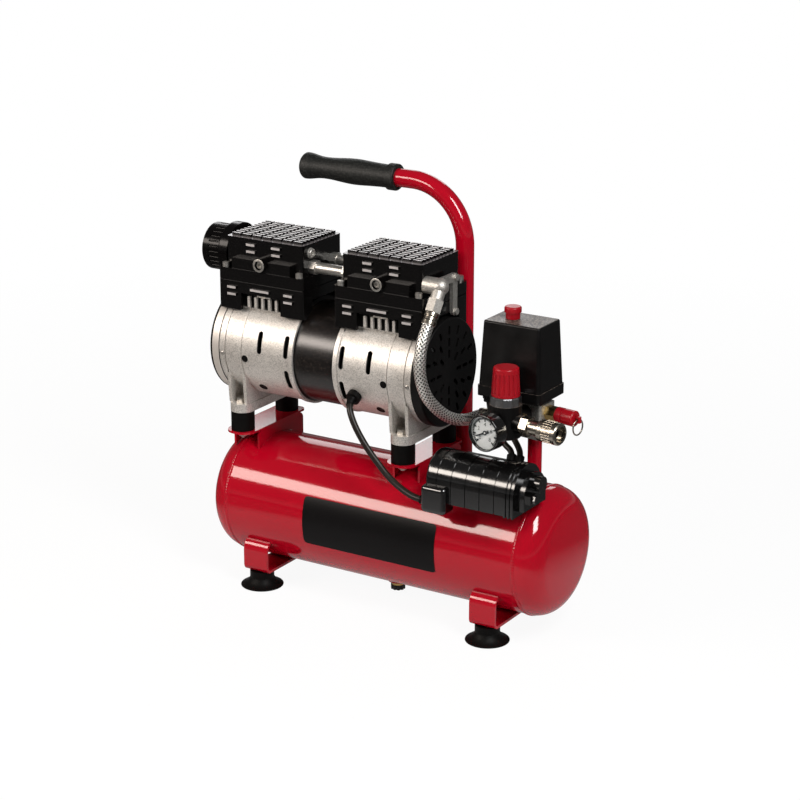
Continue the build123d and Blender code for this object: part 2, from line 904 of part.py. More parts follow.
# Crossover pipes between the heads
gap_left = left_head_x + head_length / 2
gap_right = right_head_x - head_length / 2

with BuildPart() as crossover_pipes:
    for y in (-crossover_y, crossover_y):
        rod(
            facing_right(gap_left, y, pump_z + crossover_rise),
            crossover_radius,
            gap_right - gap_left,
        )
        for x in (gap_left, gap_right - crossover_nut):
            hexagon(facing_right(x, y, pump_z + crossover_rise), crossover_nut_radius, crossover_nut)
save(crossover_pipes, "crossover_pipes")

# Intake filter on the left head
filter_x = left_head_x - head_length / 2

with BuildPart() as filter_base_part:
    rod(facing_left(filter_x, 0, pump_z + filter_rise), filter_neck_radius, filter_neck)
    rod(
        facing_left(filter_x - filter_neck, 0, pump_z + filter_rise),
        filter_base_radius,
        filter_base,
    )
    fillet(filter_base_part.edges().filter_by(GeomType.CIRCLE).group_by(Axis.X)[0], 2)
save(filter_base_part, "filter_base")

with BuildPart() as filter_cover_part:
    cover_plane = facing_left(filter_x - filter_neck - filter_base, 0, pump_z + filter_rise)
    rod(cover_plane, filter_cover_radius, filter_cover)
    rod(
        cover_plane.offset(filter_cover - filter_dish),
        filter_cover_radius - filter_dish,
        filter_dish,
        Mode.SUBTRACT,
    )
    rod(cover_plane.offset(filter_cover - filter_dish), filter_neck_radius / 2, filter_dish / 2)
    with BuildSketch(cover_plane.offset(filter_dish / 2)):
        with PolarLocations(filter_cover_radius, filter_ribs):
            Circle(1.1)
    extrude(amount=filter_cover - 2 * filter_dish, mode=Mode.SUBTRACT)
save(filter_cover_part, "filter_cover")

# Discharge elbow on the right head and the braided hose down to the manifold
elbow_x = right_head_x + head_length / 2
elbow_z = pump_z + elbow_rise
slope = radians(elbow_slope)
flange_x = right_head_x + block_length / 2 + seat_gap
flange_z = pump_z + elbow_flange_rise
leg_dir = (0, -sin(slope), -cos(slope))
knee = (tank_x + elbow_x + elbow_reach, tank_y + elbow_y, elbow_z)
leg_plane = Plane(origin=knee, x_dir=(1, 0, 0), z_dir=leg_dir)

with BuildPart() as discharge_elbow:
    with BuildSketch(facing_right(flange_x, 0, flange_z)):
        with Locations((elbow_flange_y, 0)):
            SlotOverall(elbow_flange_length, elbow_flange_width, rotation=90)
        with Locations(((elbow_y + elbow_flange_y) / 2, elbow_z - flange_z)):
            Rectangle(elbow_flange_y - elbow_y, elbow_flange_width)
    extrude(amount=elbow_flange)
    for step in (-1, 1):
        bolt_z = flange_z + step * (elbow_flange_length - elbow_flange_width) / 2
        hexagon(facing_right(flange_x + elbow_flange, elbow_flange_y, bolt_z), elbow_bolt_radius, elbow_bolt)
    rod(facing_right(elbow_x, elbow_y, elbow_z), elbow_radius, elbow_reach)
    with Locations(Location(knee)):
        Sphere(elbow_radius)
    rod(leg_plane, elbow_leg_radius, elbow_leg)
    hexagon(leg_plane.offset(elbow_leg), hose_nut_radius, hose_nut)
save(discharge_elbow, "discharge_elbow")


def turned(x, y, z, x_dir=(1, 0, 0), z_dir=(0, 0, 1)):
    valve_frame = Plane(origin=(tank_x + riser_x, tank_y, 0)).rotated((0, 0, valve_turn))
    return Plane(
        origin=valve_frame.from_local_coords((x, y, z)),
        x_dir=valve_frame.from_local_coords(Vector(x_dir)) - valve_frame.origin,
        z_dir=valve_frame.from_local_coords(Vector(z_dir)) - valve_frame.origin,
    )


def turned_right(x, y, z):
    return turned(x, y, z, (0, 1, 0), (1, 0, 0))


def turned_left(x, y, z):
    return turned(x, y, z, (0, -1, 0), (-1, 0, 0))


def turned_front(x, y, z):
    return turned(x, y, z, (1, 0, 0), (0, -1, 0))


def turned_back(x, y, z):
    return turned(x, y, z, (-1, 0, 0), (0, 1, 0))


# Riser, manifold and check valve
with BuildPart() as riser_pipe:
    rod(upright(riser_x, 0, tank_top + port_height), riser_radius, riser_length)
    rod(
        upright(riser_x, 0, tank_top + port_height),
        riser_bore,
        riser_length,
        Mode.SUBTRACT,
    )
save(riser_pipe, "riser_pipe")

manifold_length = manifold_left + manifold_right
check_z = manifold_z + check_drop

with BuildPart() as manifold:
    block(
        turned((manifold_right - manifold_left) / 2, 0, manifold_z),
        manifold_length,
        2 * manifold_half,
        manifold_height,
    )
    fillet(manifold.edges().filter_by(Axis.Z), manifold_half / 4)
    rod(upright(switch_x, 0, manifold_z + manifold_height), switch_nipple_radius, switch_nipple)
save(manifold, "manifold")

check_plane = turned_left(-manifold_left, 0, check_z)
with BuildPart() as check_valve:
    hexagon(check_plane, check_radius, check_length * 0.6)
    rod(check_plane, check_radius * 0.75, check_length)
    rod(turned(-manifold_left - check_length * 0.3, 0, check_z), unloader_radius, switch_z - check_z)
save(check_valve, "check_valve")


# Pressure switch
with BuildPart() as switch_base_part:
    block(upright(switch_x, switch_y, switch_z), switch_length, switch_width, switch_base)
    fillet(switch_base_part.edges().filter_by(Axis.Z), 4)
    for x in (gland_x, gland_x + gland_step):
        rod(upright(x, gland_y, switch_z - gland_length), gland_radius, gland_length)
    rod(
        Plane(
            origin=(tank_x + switch_x, tank_y + switch_y + switch_width / 2, switch_z + switch_base / 2),
            x_dir=(-1, 0, 0),
            z_dir=(0, 1, 0),
        ),
        mains_gland_radius,
        mains_gland,
    )
save(switch_base_part, "switch_base")

cover_length = switch_length - 2 * switch_lip
cover_width = switch_width - 2 * switch_lip
cover_z = switch_z + switch_base
cover_top = cover_z + switch_cover

with BuildPart() as switch_cover_part:
    with BuildSketch(upright(switch_x, switch_y, cover_z)):
        RectangleRounded(cover_length, cover_width, 4)
    with BuildSketch(upright(switch_x, switch_y, cover_top)):
        RectangleRounded(switch_top_length, switch_top_width, 3)
    loft()
    fillet(switch_cover_part.faces().sort_by(Axis.Z)[-1].edges(), 2)
    with BuildSketch(upright(switch_x, switch_y, cover_z)):
        RectangleRounded(cover_length - 2 * switch_wall, cover_width - 2 * switch_wall, 2)
    with BuildSketch(upright(switch_x, switch_y, cover_top - switch_wall)):
        RectangleRounded(switch_top_length - 2 * switch_wall, switch_top_width - 2 * switch_wall, 1.5)
    loft(mode=Mode.SUBTRACT)
    rod(
        upright(switch_knob_x, 0, cover_top - 2 * switch_wall),
        switch_stem_radius + running_fit,
        3 * switch_wall,
        Mode.SUBTRACT,
    )
save(switch_cover_part, "switch_cover")

with BuildPart() as switch_knob:
    rod(
        upright(switch_knob_x, 0, cover_top - switch_travel - 2 * switch_wall),
        switch_stem_radius,
        switch_travel + 2 * switch_wall + seat_gap,
    )
    rod(upright(switch_knob_x, 0, cover_top + seat_gap), switch_neck_radius, switch_neck)
    rod(upright(switch_knob_x, 0, cover_top + seat_gap + switch_neck), switch_knob_radius, switch_knob_cap)
    fillet(switch_knob.edges().filter_by(GeomType.CIRCLE).group_by(Axis.Z)[-1], switch_knob_cap / 3)
save(switch_knob, "switch_knob")

# Regulator with its knob
reg_x = -regulator_left
reg_y = -regulator_out
port_z = manifold_z + regulator_rise
body_z = port_z - regulator_below
body_height = regulator_below + regulator_above

with BuildPart() as regulator_body:
    rod(turned(reg_x, reg_y, body_z), regulator_radius, body_height)
    fillet(regulator_body.edges().filter_by(GeomType.CIRCLE).group_by(Axis.Z)[0], 3)
    rod(turned_right(reg_x, reg_y, port_z), outlet_radius, port_reach)
    rod(turned_front(reg_x, reg_y, port_z - gauge_drop), gauge_boss_radius, gauge_reach)
    rod(turned_back(reg_x, reg_y, port_z), outlet_radius, regulator_out - manifold_half)
save(regulator_body, "regulator_body")

bonnet_z = body_z + body_height
with BuildPart() as regulator_bonnet:
    with BuildSketch(turned(reg_x, reg_y, bonnet_z)):
        RegularPolygon(bonnet_radius, bonnet_sides)
    extrude(amount=bonnet_height)
    chamfer(regulator_bonnet.faces().sort_by(Axis.Z)[-1].edges(), 1)
    rod(turned(reg_x, reg_y, bonnet_z + bonnet_height), spindle_radius, spindle_length)
save(regulator_bonnet, "regulator_bonnet")

knob_z = bonnet_z + bonnet_height + seat_gap
knob_taper = degrees(atan2(regulator_knob_bottom - regulator_knob_top, regulator_knob_height))
with BuildPart() as regulator_knob:
    with Locations(turned(reg_x, reg_y, knob_z)):
        Cone(regulator_knob_bottom, regulator_knob_top, regulator_knob_height, align=from_base)
    fillet(regulator_knob.edges().filter_by(GeomType.CIRCLE).group_by(Axis.Z)[-1], 2)
    rod(
        turned(reg_x, reg_y, knob_z),
        spindle_radius + running_fit,
        spindle_length + seat_gap,
        Mode.SUBTRACT,
    )
    with Locations(turned(reg_x, reg_y, knob_z + regulator_knob_wall)):
        with PolarLocations(regulator_knob_bottom, regulator_grooves):
            Cylinder(
                regulator_groove,
                regulator_knob_height - 3 * regulator_knob_wall,
                rotation=(0, -knob_taper, 0),
                align=from_base,
                mode=Mode.SUBTRACT,
            )
save(regulator_knob, "regulator_knob")

# Pressure gauge, facing the front
gauge_plane = turned_front(reg_x, reg_y - gauge_reach, port_z - gauge_drop)
dial_depth = gauge_depth - gauge_recess
with BuildPart() as gauge_case:
    rod(gauge_plane, gauge_radius, gauge_depth)
    case_rims = gauge_case.edges().filter_by(GeomType.CIRCLE).sort_by(Axis.Y)
    fillet(case_rims[-1], 4)
    fillet(gauge_case.edges().filter_by(GeomType.CIRCLE).sort_by(Axis.Y)[0], 1)
    rod(gauge_plane.offset(dial_depth), gauge_radius - gauge_bezel, gauge_recess, Mode.SUBTRACT)
save(gauge_case, "gauge_case")

face_radius = gauge_radius - gauge_bezel - running_fit
with BuildPart() as gauge_dial_part:
    rod(gauge_plane.offset(dial_depth), face_radius, gauge_dial)
    rod(gauge_plane.offset(dial_depth), needle_pin_radius, gauge_dial + seat_gap + needle_thickness)
save(gauge_dial_part, "gauge_dial")

with BuildPart() as gauge_lens_part:
    rod(gauge_plane.offset(gauge_depth - gauge_lens), face_radius, gauge_lens)
save(gauge_lens_part, "gauge_lens")

needle_plane = gauge_plane.offset(dial_depth + gauge_dial + seat_gap)
with BuildPart() as gauge_needle:
    with BuildSketch(needle_plane):
        Circle(needle_hub_radius)
        Polygon(
            (-needle_tail, -needle_width),
            (needle_length, -needle_width / 4),
            (needle_length, needle_width / 4),
            (-needle_tail, needle_width),
            rotation=needle_rest,
            align=None,
        )
        Circle(needle_pin_radius + running_fit, mode=Mode.SUBTRACT)
    extrude(amount=needle_thickness)
save(gauge_needle, "gauge_needle")

# Quick coupler on the outlet
coupler_plane = turned_right(reg_x + port_reach, reg_y, port_z)
sleeve_start = coupler_length + sleeve_overhang - sleeve_length
with BuildPart() as coupler_body:
    hexagon(coupler_plane, coupler_hex_radius, coupler_hex)
    rod(coupler_plane, coupler_neck_radius, coupler_length)
    rod(
        coupler_plane.offset(coupler_length - coupler_bore_depth),
        coupler_bore,
        coupler_bore_depth,
        Mode.SUBTRACT,
    )
save(coupler_body, "coupler_body")

with BuildPart() as coupler_sleeve:
    rod(coupler_plane.offset(sleeve_start), sleeve_radius, sleeve_length)
    chamfer(coupler_sleeve.edges().filter_by(GeomType.CIRCLE), 1.2)
    with BuildSketch(coupler_plane.offset(sleeve_start + sleeve_length / 4)):
        with PolarLocations(sleeve_radius, sleeve_grooves):
            Circle(0.6)
    extrude(amount=sleeve_length / 2, mode=Mode.SUBTRACT)
    rod(
        coupler_plane.offset(sleeve_start),
        coupler_neck_radius + running_fit,
        sleeve_length,
        Mode.SUBTRACT,
    )
save(coupler_sleeve, "coupler_sleeve")

# Safety valve with its pull ring
safety_z = manifold_z + safety_rise
safety_plane = turned_right(manifold_right, 0, safety_z)
with BuildPart() as safety_body:
    hexagon(safety_plane, safety_hex_radius, safety_hex)
    rod(safety_plane.offset(safety_hex), safety_neck_radius, safety_neck)
save(safety_body, "safety_body")

cap_start = safety_hex + seat_gap
lug_start = cap_start + safety_cap
with BuildPart() as safety_cap_part:
    rod(safety_plane.offset(cap_start), safety_cap_radius, safety_cap)
    chamfer(safety_cap_part.edges().filter_by(GeomType.CIRCLE), 1)
    with BuildSketch(safety_plane.offset(cap_start + safety_cap / 3)):
        Circle(safety_cap_radius + 1)
        Circle(safety_cap_radius - 1, mode=Mode.SUBTRACT)
    extrude(amount=safety_cap / 8, mode=Mode.SUBTRACT)
    rod(
        safety_plane.offset(cap_start),
        safety_neck_radius + running_fit,
        safety_neck,
        Mode.SUBTRACT,
    )
    block(safety_plane.offset(lug_start), safety_lug_width, safety_lug_height, safety_lug)
    rod(
        turned_front(manifold_right + lug_start + safety_lug / 2, safety_lug_width, safety_z),
        safety_hole,
        2 * safety_lug_width,
        Mode.SUBTRACT,
    )
save(safety_cap_part, "safety_cap")

ring_plane = turned(
    manifold_right + lug_start + safety_lug / 2, 0, safety_z - ring_radius, (0, 1, 0), (1, 0, 0)
)
with BuildPart() as safety_ring:
    with Locations(ring_plane):
        Torus(ring_radius, ring_wire)
save(safety_ring, "safety_ring")

# Drain valve
drain_z = drain_port_z - drain_body
with BuildPart() as drain_valve:
    rod(upright(drain_x, 0, drain_z), drain_body_radius, drain_body)
    rod(
        upright(drain_x, 0, drain_z),
        drain_stem_radius + running_fit,
        drain_body,
        Mode.SUBTRACT,
    )
save(drain_valve, "drain_valve")

drain_knob_z = drain_z - seat_gap - drain_knob
with BuildPart() as drain_knob_part:
    rod(upright(drain_x, 0, drain_knob_z), drain_knob_radius, drain_knob)
    with Locations(upright(drain_x, 0, drain_knob_z)):
        with PolarLocations(drain_knob_radius, 10):
            Cylinder(1.2, drain_knob, align=from_base, mode=Mode.SUBTRACT)
    rod(upright(drain_x, 0, drain_knob_z), drain_stem_radius, drain_knob + seat_gap + drain_body)
save(drain_knob_part, "drain_knob")

# Capacitor in its black case
def case_outline(grow, mode=Mode.ADD):
    side = capacitor_radius + grow
    foot = capacitor_skirt + grow
    with BuildLine() as outline:
        arch = ThreePointArc((-side, 0), (0, side), (side, 0))
        Polyline(arch @ 1, (side, -foot), (-side, -foot), arch @ 0)
    make_face(outline.edges(), mode=mode)


case_end_x = capacitor_x + capacitor_length
entry_x = capacitor_x + entry_inset
entry_y = capacitor_y - entry_reach
ear_y = capacitor_y - ear_reach

with BuildPart() as cable_entry:
    block(
        upright(entry_x + entry_length / 2, entry_y, capacitor_z - entry_drop - entry_height / 2),
        entry_length,
        entry_width,
        entry_height,
    )
    fillet(cable_entry.edges(), entry_corner)

with BuildPart() as capacitor_case:
    with BuildSketch(facing_right(capacitor_x, capacitor_y, capacitor_z)):
        case_outline(0)
    extrude(amount=capacitor_length)
    fillet(capacitor_case.faces().sort_by(Axis.X)[0].edges(), capacitor_corner)
    groove_count = int((capacitor_length - end_rings * end_ring_pitch) / capacitor_groove_pitch)
    for step in range(groove_count):
        groove_x = capacitor_x + capacitor_groove_pitch * (step + 0.8)
        with BuildSketch(facing_right(groove_x, capacitor_y, capacitor_z)):
            case_outline(1)
            case_outline(-capacitor_groove_depth, Mode.SUBTRACT)
        extrude(amount=capacitor_groove, mode=Mode.SUBTRACT)
    for step in range(end_rings):
        ring_x = case_end_x - end_ring - step * end_ring_pitch
        with BuildSketch(facing_right(ring_x, capacitor_y, capacitor_z)):
            case_outline(end_ring_height)
        extrude(amount=end_ring)
    with BuildSketch(facing_right(case_end_x, capacitor_y, capacitor_z)):
        case_outline(-end_cap_inset)
    extrude(amount=end_cap)
    boss_plane = facing_right(case_end_x + end_cap, capacitor_y, capacitor_z + end_boss_rise)
    rod(boss_plane, end_boss_radius, end_cap)
    block(
        upright(case_end_x + ear_length / 2, ear_y, capacitor_z - ear_height / 2),
        ear_length,
        ear_width,
        ear_height,
    )
    hexagon(facing_right(case_end_x + ear_length, ear_y, capacitor_z), ear_bolt_radius, ear_bolt)
    add(cable_entry.part)
    cut_tank(seat_gap)
save(capacitor_case, "capacitor_case")

case_bottom = capacitor_z - capacitor_skirt
with BuildPart() as capacitor_saddle:
    block(
        upright(capacitor_x + capacitor_length / 2, capacitor_y + saddle_back, tank_z),
        saddle_length,
        saddle_width,
        case_bottom - weld_gap - tank_z,
    )
    cut_tank(weld_gap)
save(capacitor_saddle, "capacitor_saddle")

# Carrying handle behind the pump, coped onto the tank's rear shoulder
with BuildPart() as handle_tube:
    with BuildLine() as handle_line:
        FilletPolyline(
            (tank_x + handle_x, tank_y + handle_y, handle_foot),
            (tank_x + handle_x, tank_y + handle_y, handle_top),
            (tank_x + grip_left + grip_end_wall, tank_y + handle_y, handle_top),
            radius=handle_bend,
        )
    with BuildSketch(upright(handle_x, handle_y, handle_foot)):
        Circle(handle_radius)
        Circle(handle_radius - handle_wall, mode=Mode.SUBTRACT)
    sweep(path=handle_line.wires()[0])
    cut_tank(weld_gap)
save(handle_tube, "handle_tube")

grip_neck = grip_length - grip_flange
with BuildPart() as handle_grip:
    grip_plane = facing_right(grip_left, handle_y, handle_top)
    with BuildSketch(facing_front(grip_left, handle_y, handle_top)):
        with BuildLine():
            nose = ThreePointArc(
                (0, grip_end_radius / 2),
                (grip_end_wall / 4, 0.85 * grip_end_radius),
                (grip_end_wall, grip_end_radius),
            )
            body = Spline(
                nose @ 1,
                (0.16 * grip_length, grip_waist_radius),
                (0.5 * grip_length, grip_swell_radius),
                (grip_neck, grip_waist_radius),
                tangents=((1, 0), (1, 0)),
            )
            Polyline(
                body @ 1,
                (grip_neck, grip_end_radius),
                (grip_length, grip_end_radius),
                (grip_length, 0),
                (0, 0),
                nose @ 0,
            )
        make_face()
    revolve(axis=Axis((tank_x, tank_y + handle_y, handle_top), (1, 0, 0)))
    fillet(handle_grip.edges().filter_by(GeomType.CIRCLE).group_by(Axis.X)[-1], 2)
    rod(grip_plane.offset(grip_end_wall), handle_radius + running_fit, grip_length, Mode.SUBTRACT)
save(handle_grip, "handle_grip")


# Cables and the hose: straight runs joined by arcs as large as the runs allow
def cord(name, points, radius):
    spots = [Vector(tank_x + p[0], tank_y + p[1], p[2]) for p in points]
    runs = [b - a for a, b in zip(spots, spots[1:])]
    radii = []
    for before, after in zip(runs, runs[1:]):
        half_turn = radians(before.get_angle(after)) / 2
        radii.append(0.45 * min(before.length, after.length) / tan(half_turn))
    with BuildPart() as tube:
        with BuildLine() as line:
            FilletPolyline(*spots, radius=radii)
        with BuildSketch(Plane(origin=spots[0], z_dir=runs[0])):
            Circle(radius)
        sweep(path=line.wires()[0])
    length = line.wires()[0].length
    section = 3.14159265 * radius * radius
    print(name, "length", round(length, 1), "radii", [round(r, 1) for r in radii])
    print(name, "volume over section times length", round(tube.part.volume / (section * length), 4))
    return tube


def from_tank(point):
    return (point.X - tank_x, point.Y - tank_y, point.Z)


hose_points = [
    from_tank(leg_plane.offset(elbow_leg + hose_nut).origin),
    from_tank(leg_plane.offset(elbow_leg + hose_nut + hose_lead).origin),
    (70.0, -66.0, 318.0),
    (70.0, -70.5, 298.0),
    (70.5, -70.0, 280.0),
    (72.0, -61.5, 259.0),
    (75.5, -44.0, 240.0),
    (80.0, -24.0, 225.5),
    (88.0, -4.0, 219.5),
    from_tank(check_plane.offset(check_length + hose_lead).origin),
    from_tank(check_plane.offset(check_length).origin),
]
delivery_hose = cord("delivery_hose", hose_points, hose_radius)
save(delivery_hose, "delivery_hose")

grommet_end = crankcase_wall + grommet_length
motor_cable_points = [
    from_tank(grommet_plane.offset(grommet_end).origin),
    from_tank(grommet_plane.offset(grommet_end + cable_lead).origin),
    (-16.0, -70.0, 228.0),
    (-7.0, -72.5, 213.0),
    (5.0, -73.0, 196.5),
    (19.0, -74.0, 182.0),
    (36.0, -75.5, 167.0),
    (54.0, -77.5, 157.5),
    (entry_x - 2 * cable_lead, capacitor_y - entry_cable_reach, capacitor_z - entry_cable_drop),
    (entry_x, capacitor_y - entry_cable_reach, capacitor_z - entry_cable_drop),
]
motor_cable = cord("motor_cable", motor_cable_points, motor_cable_radius)
save(motor_cable, "motor_cable")

cable_seat = radians(cable_seat_angle)


def above_capacitor(x, height):
    reach = capacitor_radius + height
    return (x, capacitor_y + reach * sin(cable_seat), capacitor_z + reach * cos(cable_seat))


first_points = [
    (gland_x, gland_y, switch_z - gland_length),
    (gland_x, gland_y, switch_z - gland_length - cable_lead),
    (132.0, -21.0, 224.0),
    (147.0, -29.0, 211.5),
    above_capacitor(162.0, 1.5 * cable_lead),
    above_capacitor(162.0, 0),
]
second_points = [
    (gland_x + gland_step, gland_y, switch_z - gland_length),
    (gland_x + gland_step, gland_y, switch_z - gland_length - cable_lead),
    (143.5, -16.5, 226.0),
    (158.0, -23.5, 214.5),
    above_capacitor(171.5, 1.5 * cable_lead),
    above_capacitor(171.5, 0),
]
first_cable = cord("first_switch_cable", first_points, switch_cable_radius)
second_cable = cord("second_switch_cable", second_points, switch_cable_radius)

with BuildPart() as switch_cables:
    add(first_cable.part)
    add(second_cable.part)
save(switch_cables, "switch_cables")
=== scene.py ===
import json
from math import cos, pi, radians, sin

import bmesh
import bpy
import numpy as np
from mathutils import Matrix, Vector


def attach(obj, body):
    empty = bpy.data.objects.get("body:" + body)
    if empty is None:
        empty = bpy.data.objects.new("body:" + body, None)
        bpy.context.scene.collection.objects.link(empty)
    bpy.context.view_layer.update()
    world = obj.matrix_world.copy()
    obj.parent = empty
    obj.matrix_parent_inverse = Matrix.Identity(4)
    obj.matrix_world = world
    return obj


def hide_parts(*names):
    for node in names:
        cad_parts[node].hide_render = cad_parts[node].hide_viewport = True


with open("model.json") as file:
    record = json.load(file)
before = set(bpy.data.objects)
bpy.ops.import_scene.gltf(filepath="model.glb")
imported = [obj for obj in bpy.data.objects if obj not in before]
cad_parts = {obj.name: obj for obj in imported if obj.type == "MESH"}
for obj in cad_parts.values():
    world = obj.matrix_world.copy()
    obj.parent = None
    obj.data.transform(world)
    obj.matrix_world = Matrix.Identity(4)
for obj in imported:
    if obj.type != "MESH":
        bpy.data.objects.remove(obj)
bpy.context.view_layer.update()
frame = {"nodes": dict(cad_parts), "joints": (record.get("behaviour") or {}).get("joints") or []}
nodes = frame["nodes"]
scene = bpy.context.scene
print("frame loaded:", len(nodes), "CAD nodes")

# places below are millimetres from the tank's middle on the floor; toRow gives metres in the shared frame
tankShift = np.array([6.6, 4.4, 0.0])


def toRow(points):
    return (np.asarray(points, float) + tankShift) / 1000.0


# camera at the photograph's angle
shot = {"azimuth": 32.0, "elevation": 17.88, "distance": 2.4374, "aim": (2.42, 0.0, 226.35),
        "lens": 102.03, "sensor": 36.0, "farClip": 50.0}


def outward(azimuth, elevation):  # unit direction, azimuth from the front towards the right
    az, el = radians(azimuth), radians(elevation)
    return Vector((sin(az) * cos(el), -cos(az) * cos(el), sin(el)))


cameraData = bpy.data.cameras.new("shotCamera")
cameraData.lens = shot["lens"]
cameraData.sensor_width = shot["sensor"]
cameraData.clip_end = shot["farClip"]
camera = bpy.data.objects.new("shotCamera", cameraData)
scene.collection.objects.link(camera)
aim = Vector(toRow(shot["aim"]))
sight = outward(shot["azimuth"], shot["elevation"])
camera.location = aim + shot["distance"] * sight
camera.rotation_euler = sight.to_track_quat("Z", "Y").to_euler()
scene.camera = camera
print("camera set")


# materials
def hexColor(text):  # sRGB hex to linear RGBA
    c = np.array([int(text[i:i + 2], 16) for i in (1, 3, 5)]) / 255.0
    lin = np.where(c <= 0.04045, c / 12.92, ((c + 0.055) / 1.055) ** 2.4)
    return (*lin.tolist(), 1.0)


# values, hex colours and links of one node; a node given as a value stands for its first live output
def join(tree, made, links):
    for socket, value in links.items():
        if isinstance(value, bpy.types.Node):
            value = next(out for out in value.outputs if out.enabled)
        if isinstance(value, bpy.types.NodeSocket):
            tree.links.new(value, made.inputs[socket])
        else:
            made.inputs[socket].default_value = hexColor(value) if isinstance(value, str) else value
    return made


def put(tree, kind, links=None, **settings):  # one new node with its settings, values and links
    made = tree.nodes.new("ShaderNode" + kind)
    for key, value in settings.items():
        setattr(made, key, value)
    return join(tree, made, links or {})


def newMaterial(name, **values):  # a principled shader, its constant sockets and the object coordinates
    mat = bpy.data.materials.new(name)
    mat.use_nodes = True
    tree = mat.node_tree
    tree.nodes.clear()
    shader = put(tree, "BsdfPrincipled", values)
    put(tree, "OutputMaterial", {"Surface": shader})
    coords = put(tree, "TexCoord").outputs["Object"]
    return mat, tree, shader, coords


def perMm(size):  # texture scale for a feature of that many millimetres, in metre coordinates
    return 1000.0 / size


# powder coated steel: deep red, glossy, with the faint orange peel of baked powder
def redPowderCoat():
    mat, tree, shader, co = newMaterial("redPowderCoat", **{"Specular IOR Level": 0.5})
    tone = put(tree, "TexNoise", {"Vector": co, "Scale": perMm(90), "Detail": 3.0})
    mix = put(tree, "Mix", {"Factor": tone, "A": "#9a0318", "B": "#a3051c"}, data_type="RGBA")
    peel = put(tree, "TexNoise", {"Vector": co, "Scale": perMm(2.4), "Detail": 2.0})
    bump = put(tree, "Bump", {"Height": peel, "Strength": 0.03, "Distance": 0.0005})
    rough = put(tree, "MapRange", {"Value": tone, "To Min": 0.06, "To Max": 0.12})
    join(tree, shader, {"Base Color": mix, "Roughness": rough, "Normal": bump})
    return mat


# moulded rubber: dull black with a fine grain and a dusty bloom
def mouldedRubber():
    mat, tree, shader, co = newMaterial("mouldedRubber", **{"Roughness": 0.5, "Specular IOR Level": 0.1})
    grain = put(tree, "TexNoise", {"Vector": co, "Scale": perMm(0.9), "Detail": 4.0})
    bloom = put(tree, "TexNoise", {"Vector": co, "Scale": perMm(14), "Detail": 3.0})
    mix = put(tree, "Mix", {"Factor": bloom, "A": "#050404", "B": "#0d0c0b"}, data_type="RGBA")
    bump = put(tree, "Bump", {"Height": grain, "Strength": 0.25, "Distance": 0.0003})
    join(tree, shader, {"Base Color": mix, "Normal": bump})
    return mat


# foam rubber of the grip: charcoal, matt, with a pebbled skin that catches light on its high spots
def foamGrip():
    mat, tree, shader, co = newMaterial("foamGrip", **{"Roughness": 0.54, "Specular IOR Level": 0.34})
    pebble = put(tree, "TexNoise", {"Vector": co, "Scale": perMm(2.2), "Detail": 4.0, "Roughness": 0.62})
    highSpotHighlight = put(tree, "MapRange", {"Value": pebble, "From Min": 0.46, "From Max": 0.68})
    # painted highlight: the high spots of the pebbled skin are mixed paler
    mix = put(tree, "Mix", {"Factor": highSpotHighlight, "A": "#0e0f0e", "B": "#2a2b29"}, data_type="RGBA")
    bump = put(tree, "Bump", {"Height": pebble, "Strength": 0.5, "Distance": 0.0006})
    join(tree, shader, {"Base Color": mix, "Normal": bump})
    return mat


# bead-blasted die-cast aluminium: pale, grainy, slightly warm; the pads under the cylinders and the inside
# are mixed to near black, painted shade of those pockets: above padFloor within padHalf of the middle,
# and nearer to the motor's axis than the skin
casting = {"padFloor": 313.5, "padHalf": 40.0, "axisZ": 267.5, "skin": 57.2, "fade": 0.5, "metal": 0.62}


def fromAxis(tree, co):  # distance of each point from the motor's axis, in metres
    off = put(tree, "VectorMath", {0: co, 1: (0, tankShift[1] / 1000.0, casting["axisZ"] / 1000.0)},
              operation="SUBTRACT")
    off = put(tree, "VectorMath", {0: off, 1: (0, 1, 1)}, operation="MULTIPLY")
    return put(tree, "VectorMath", {0: off}, operation="LENGTH")


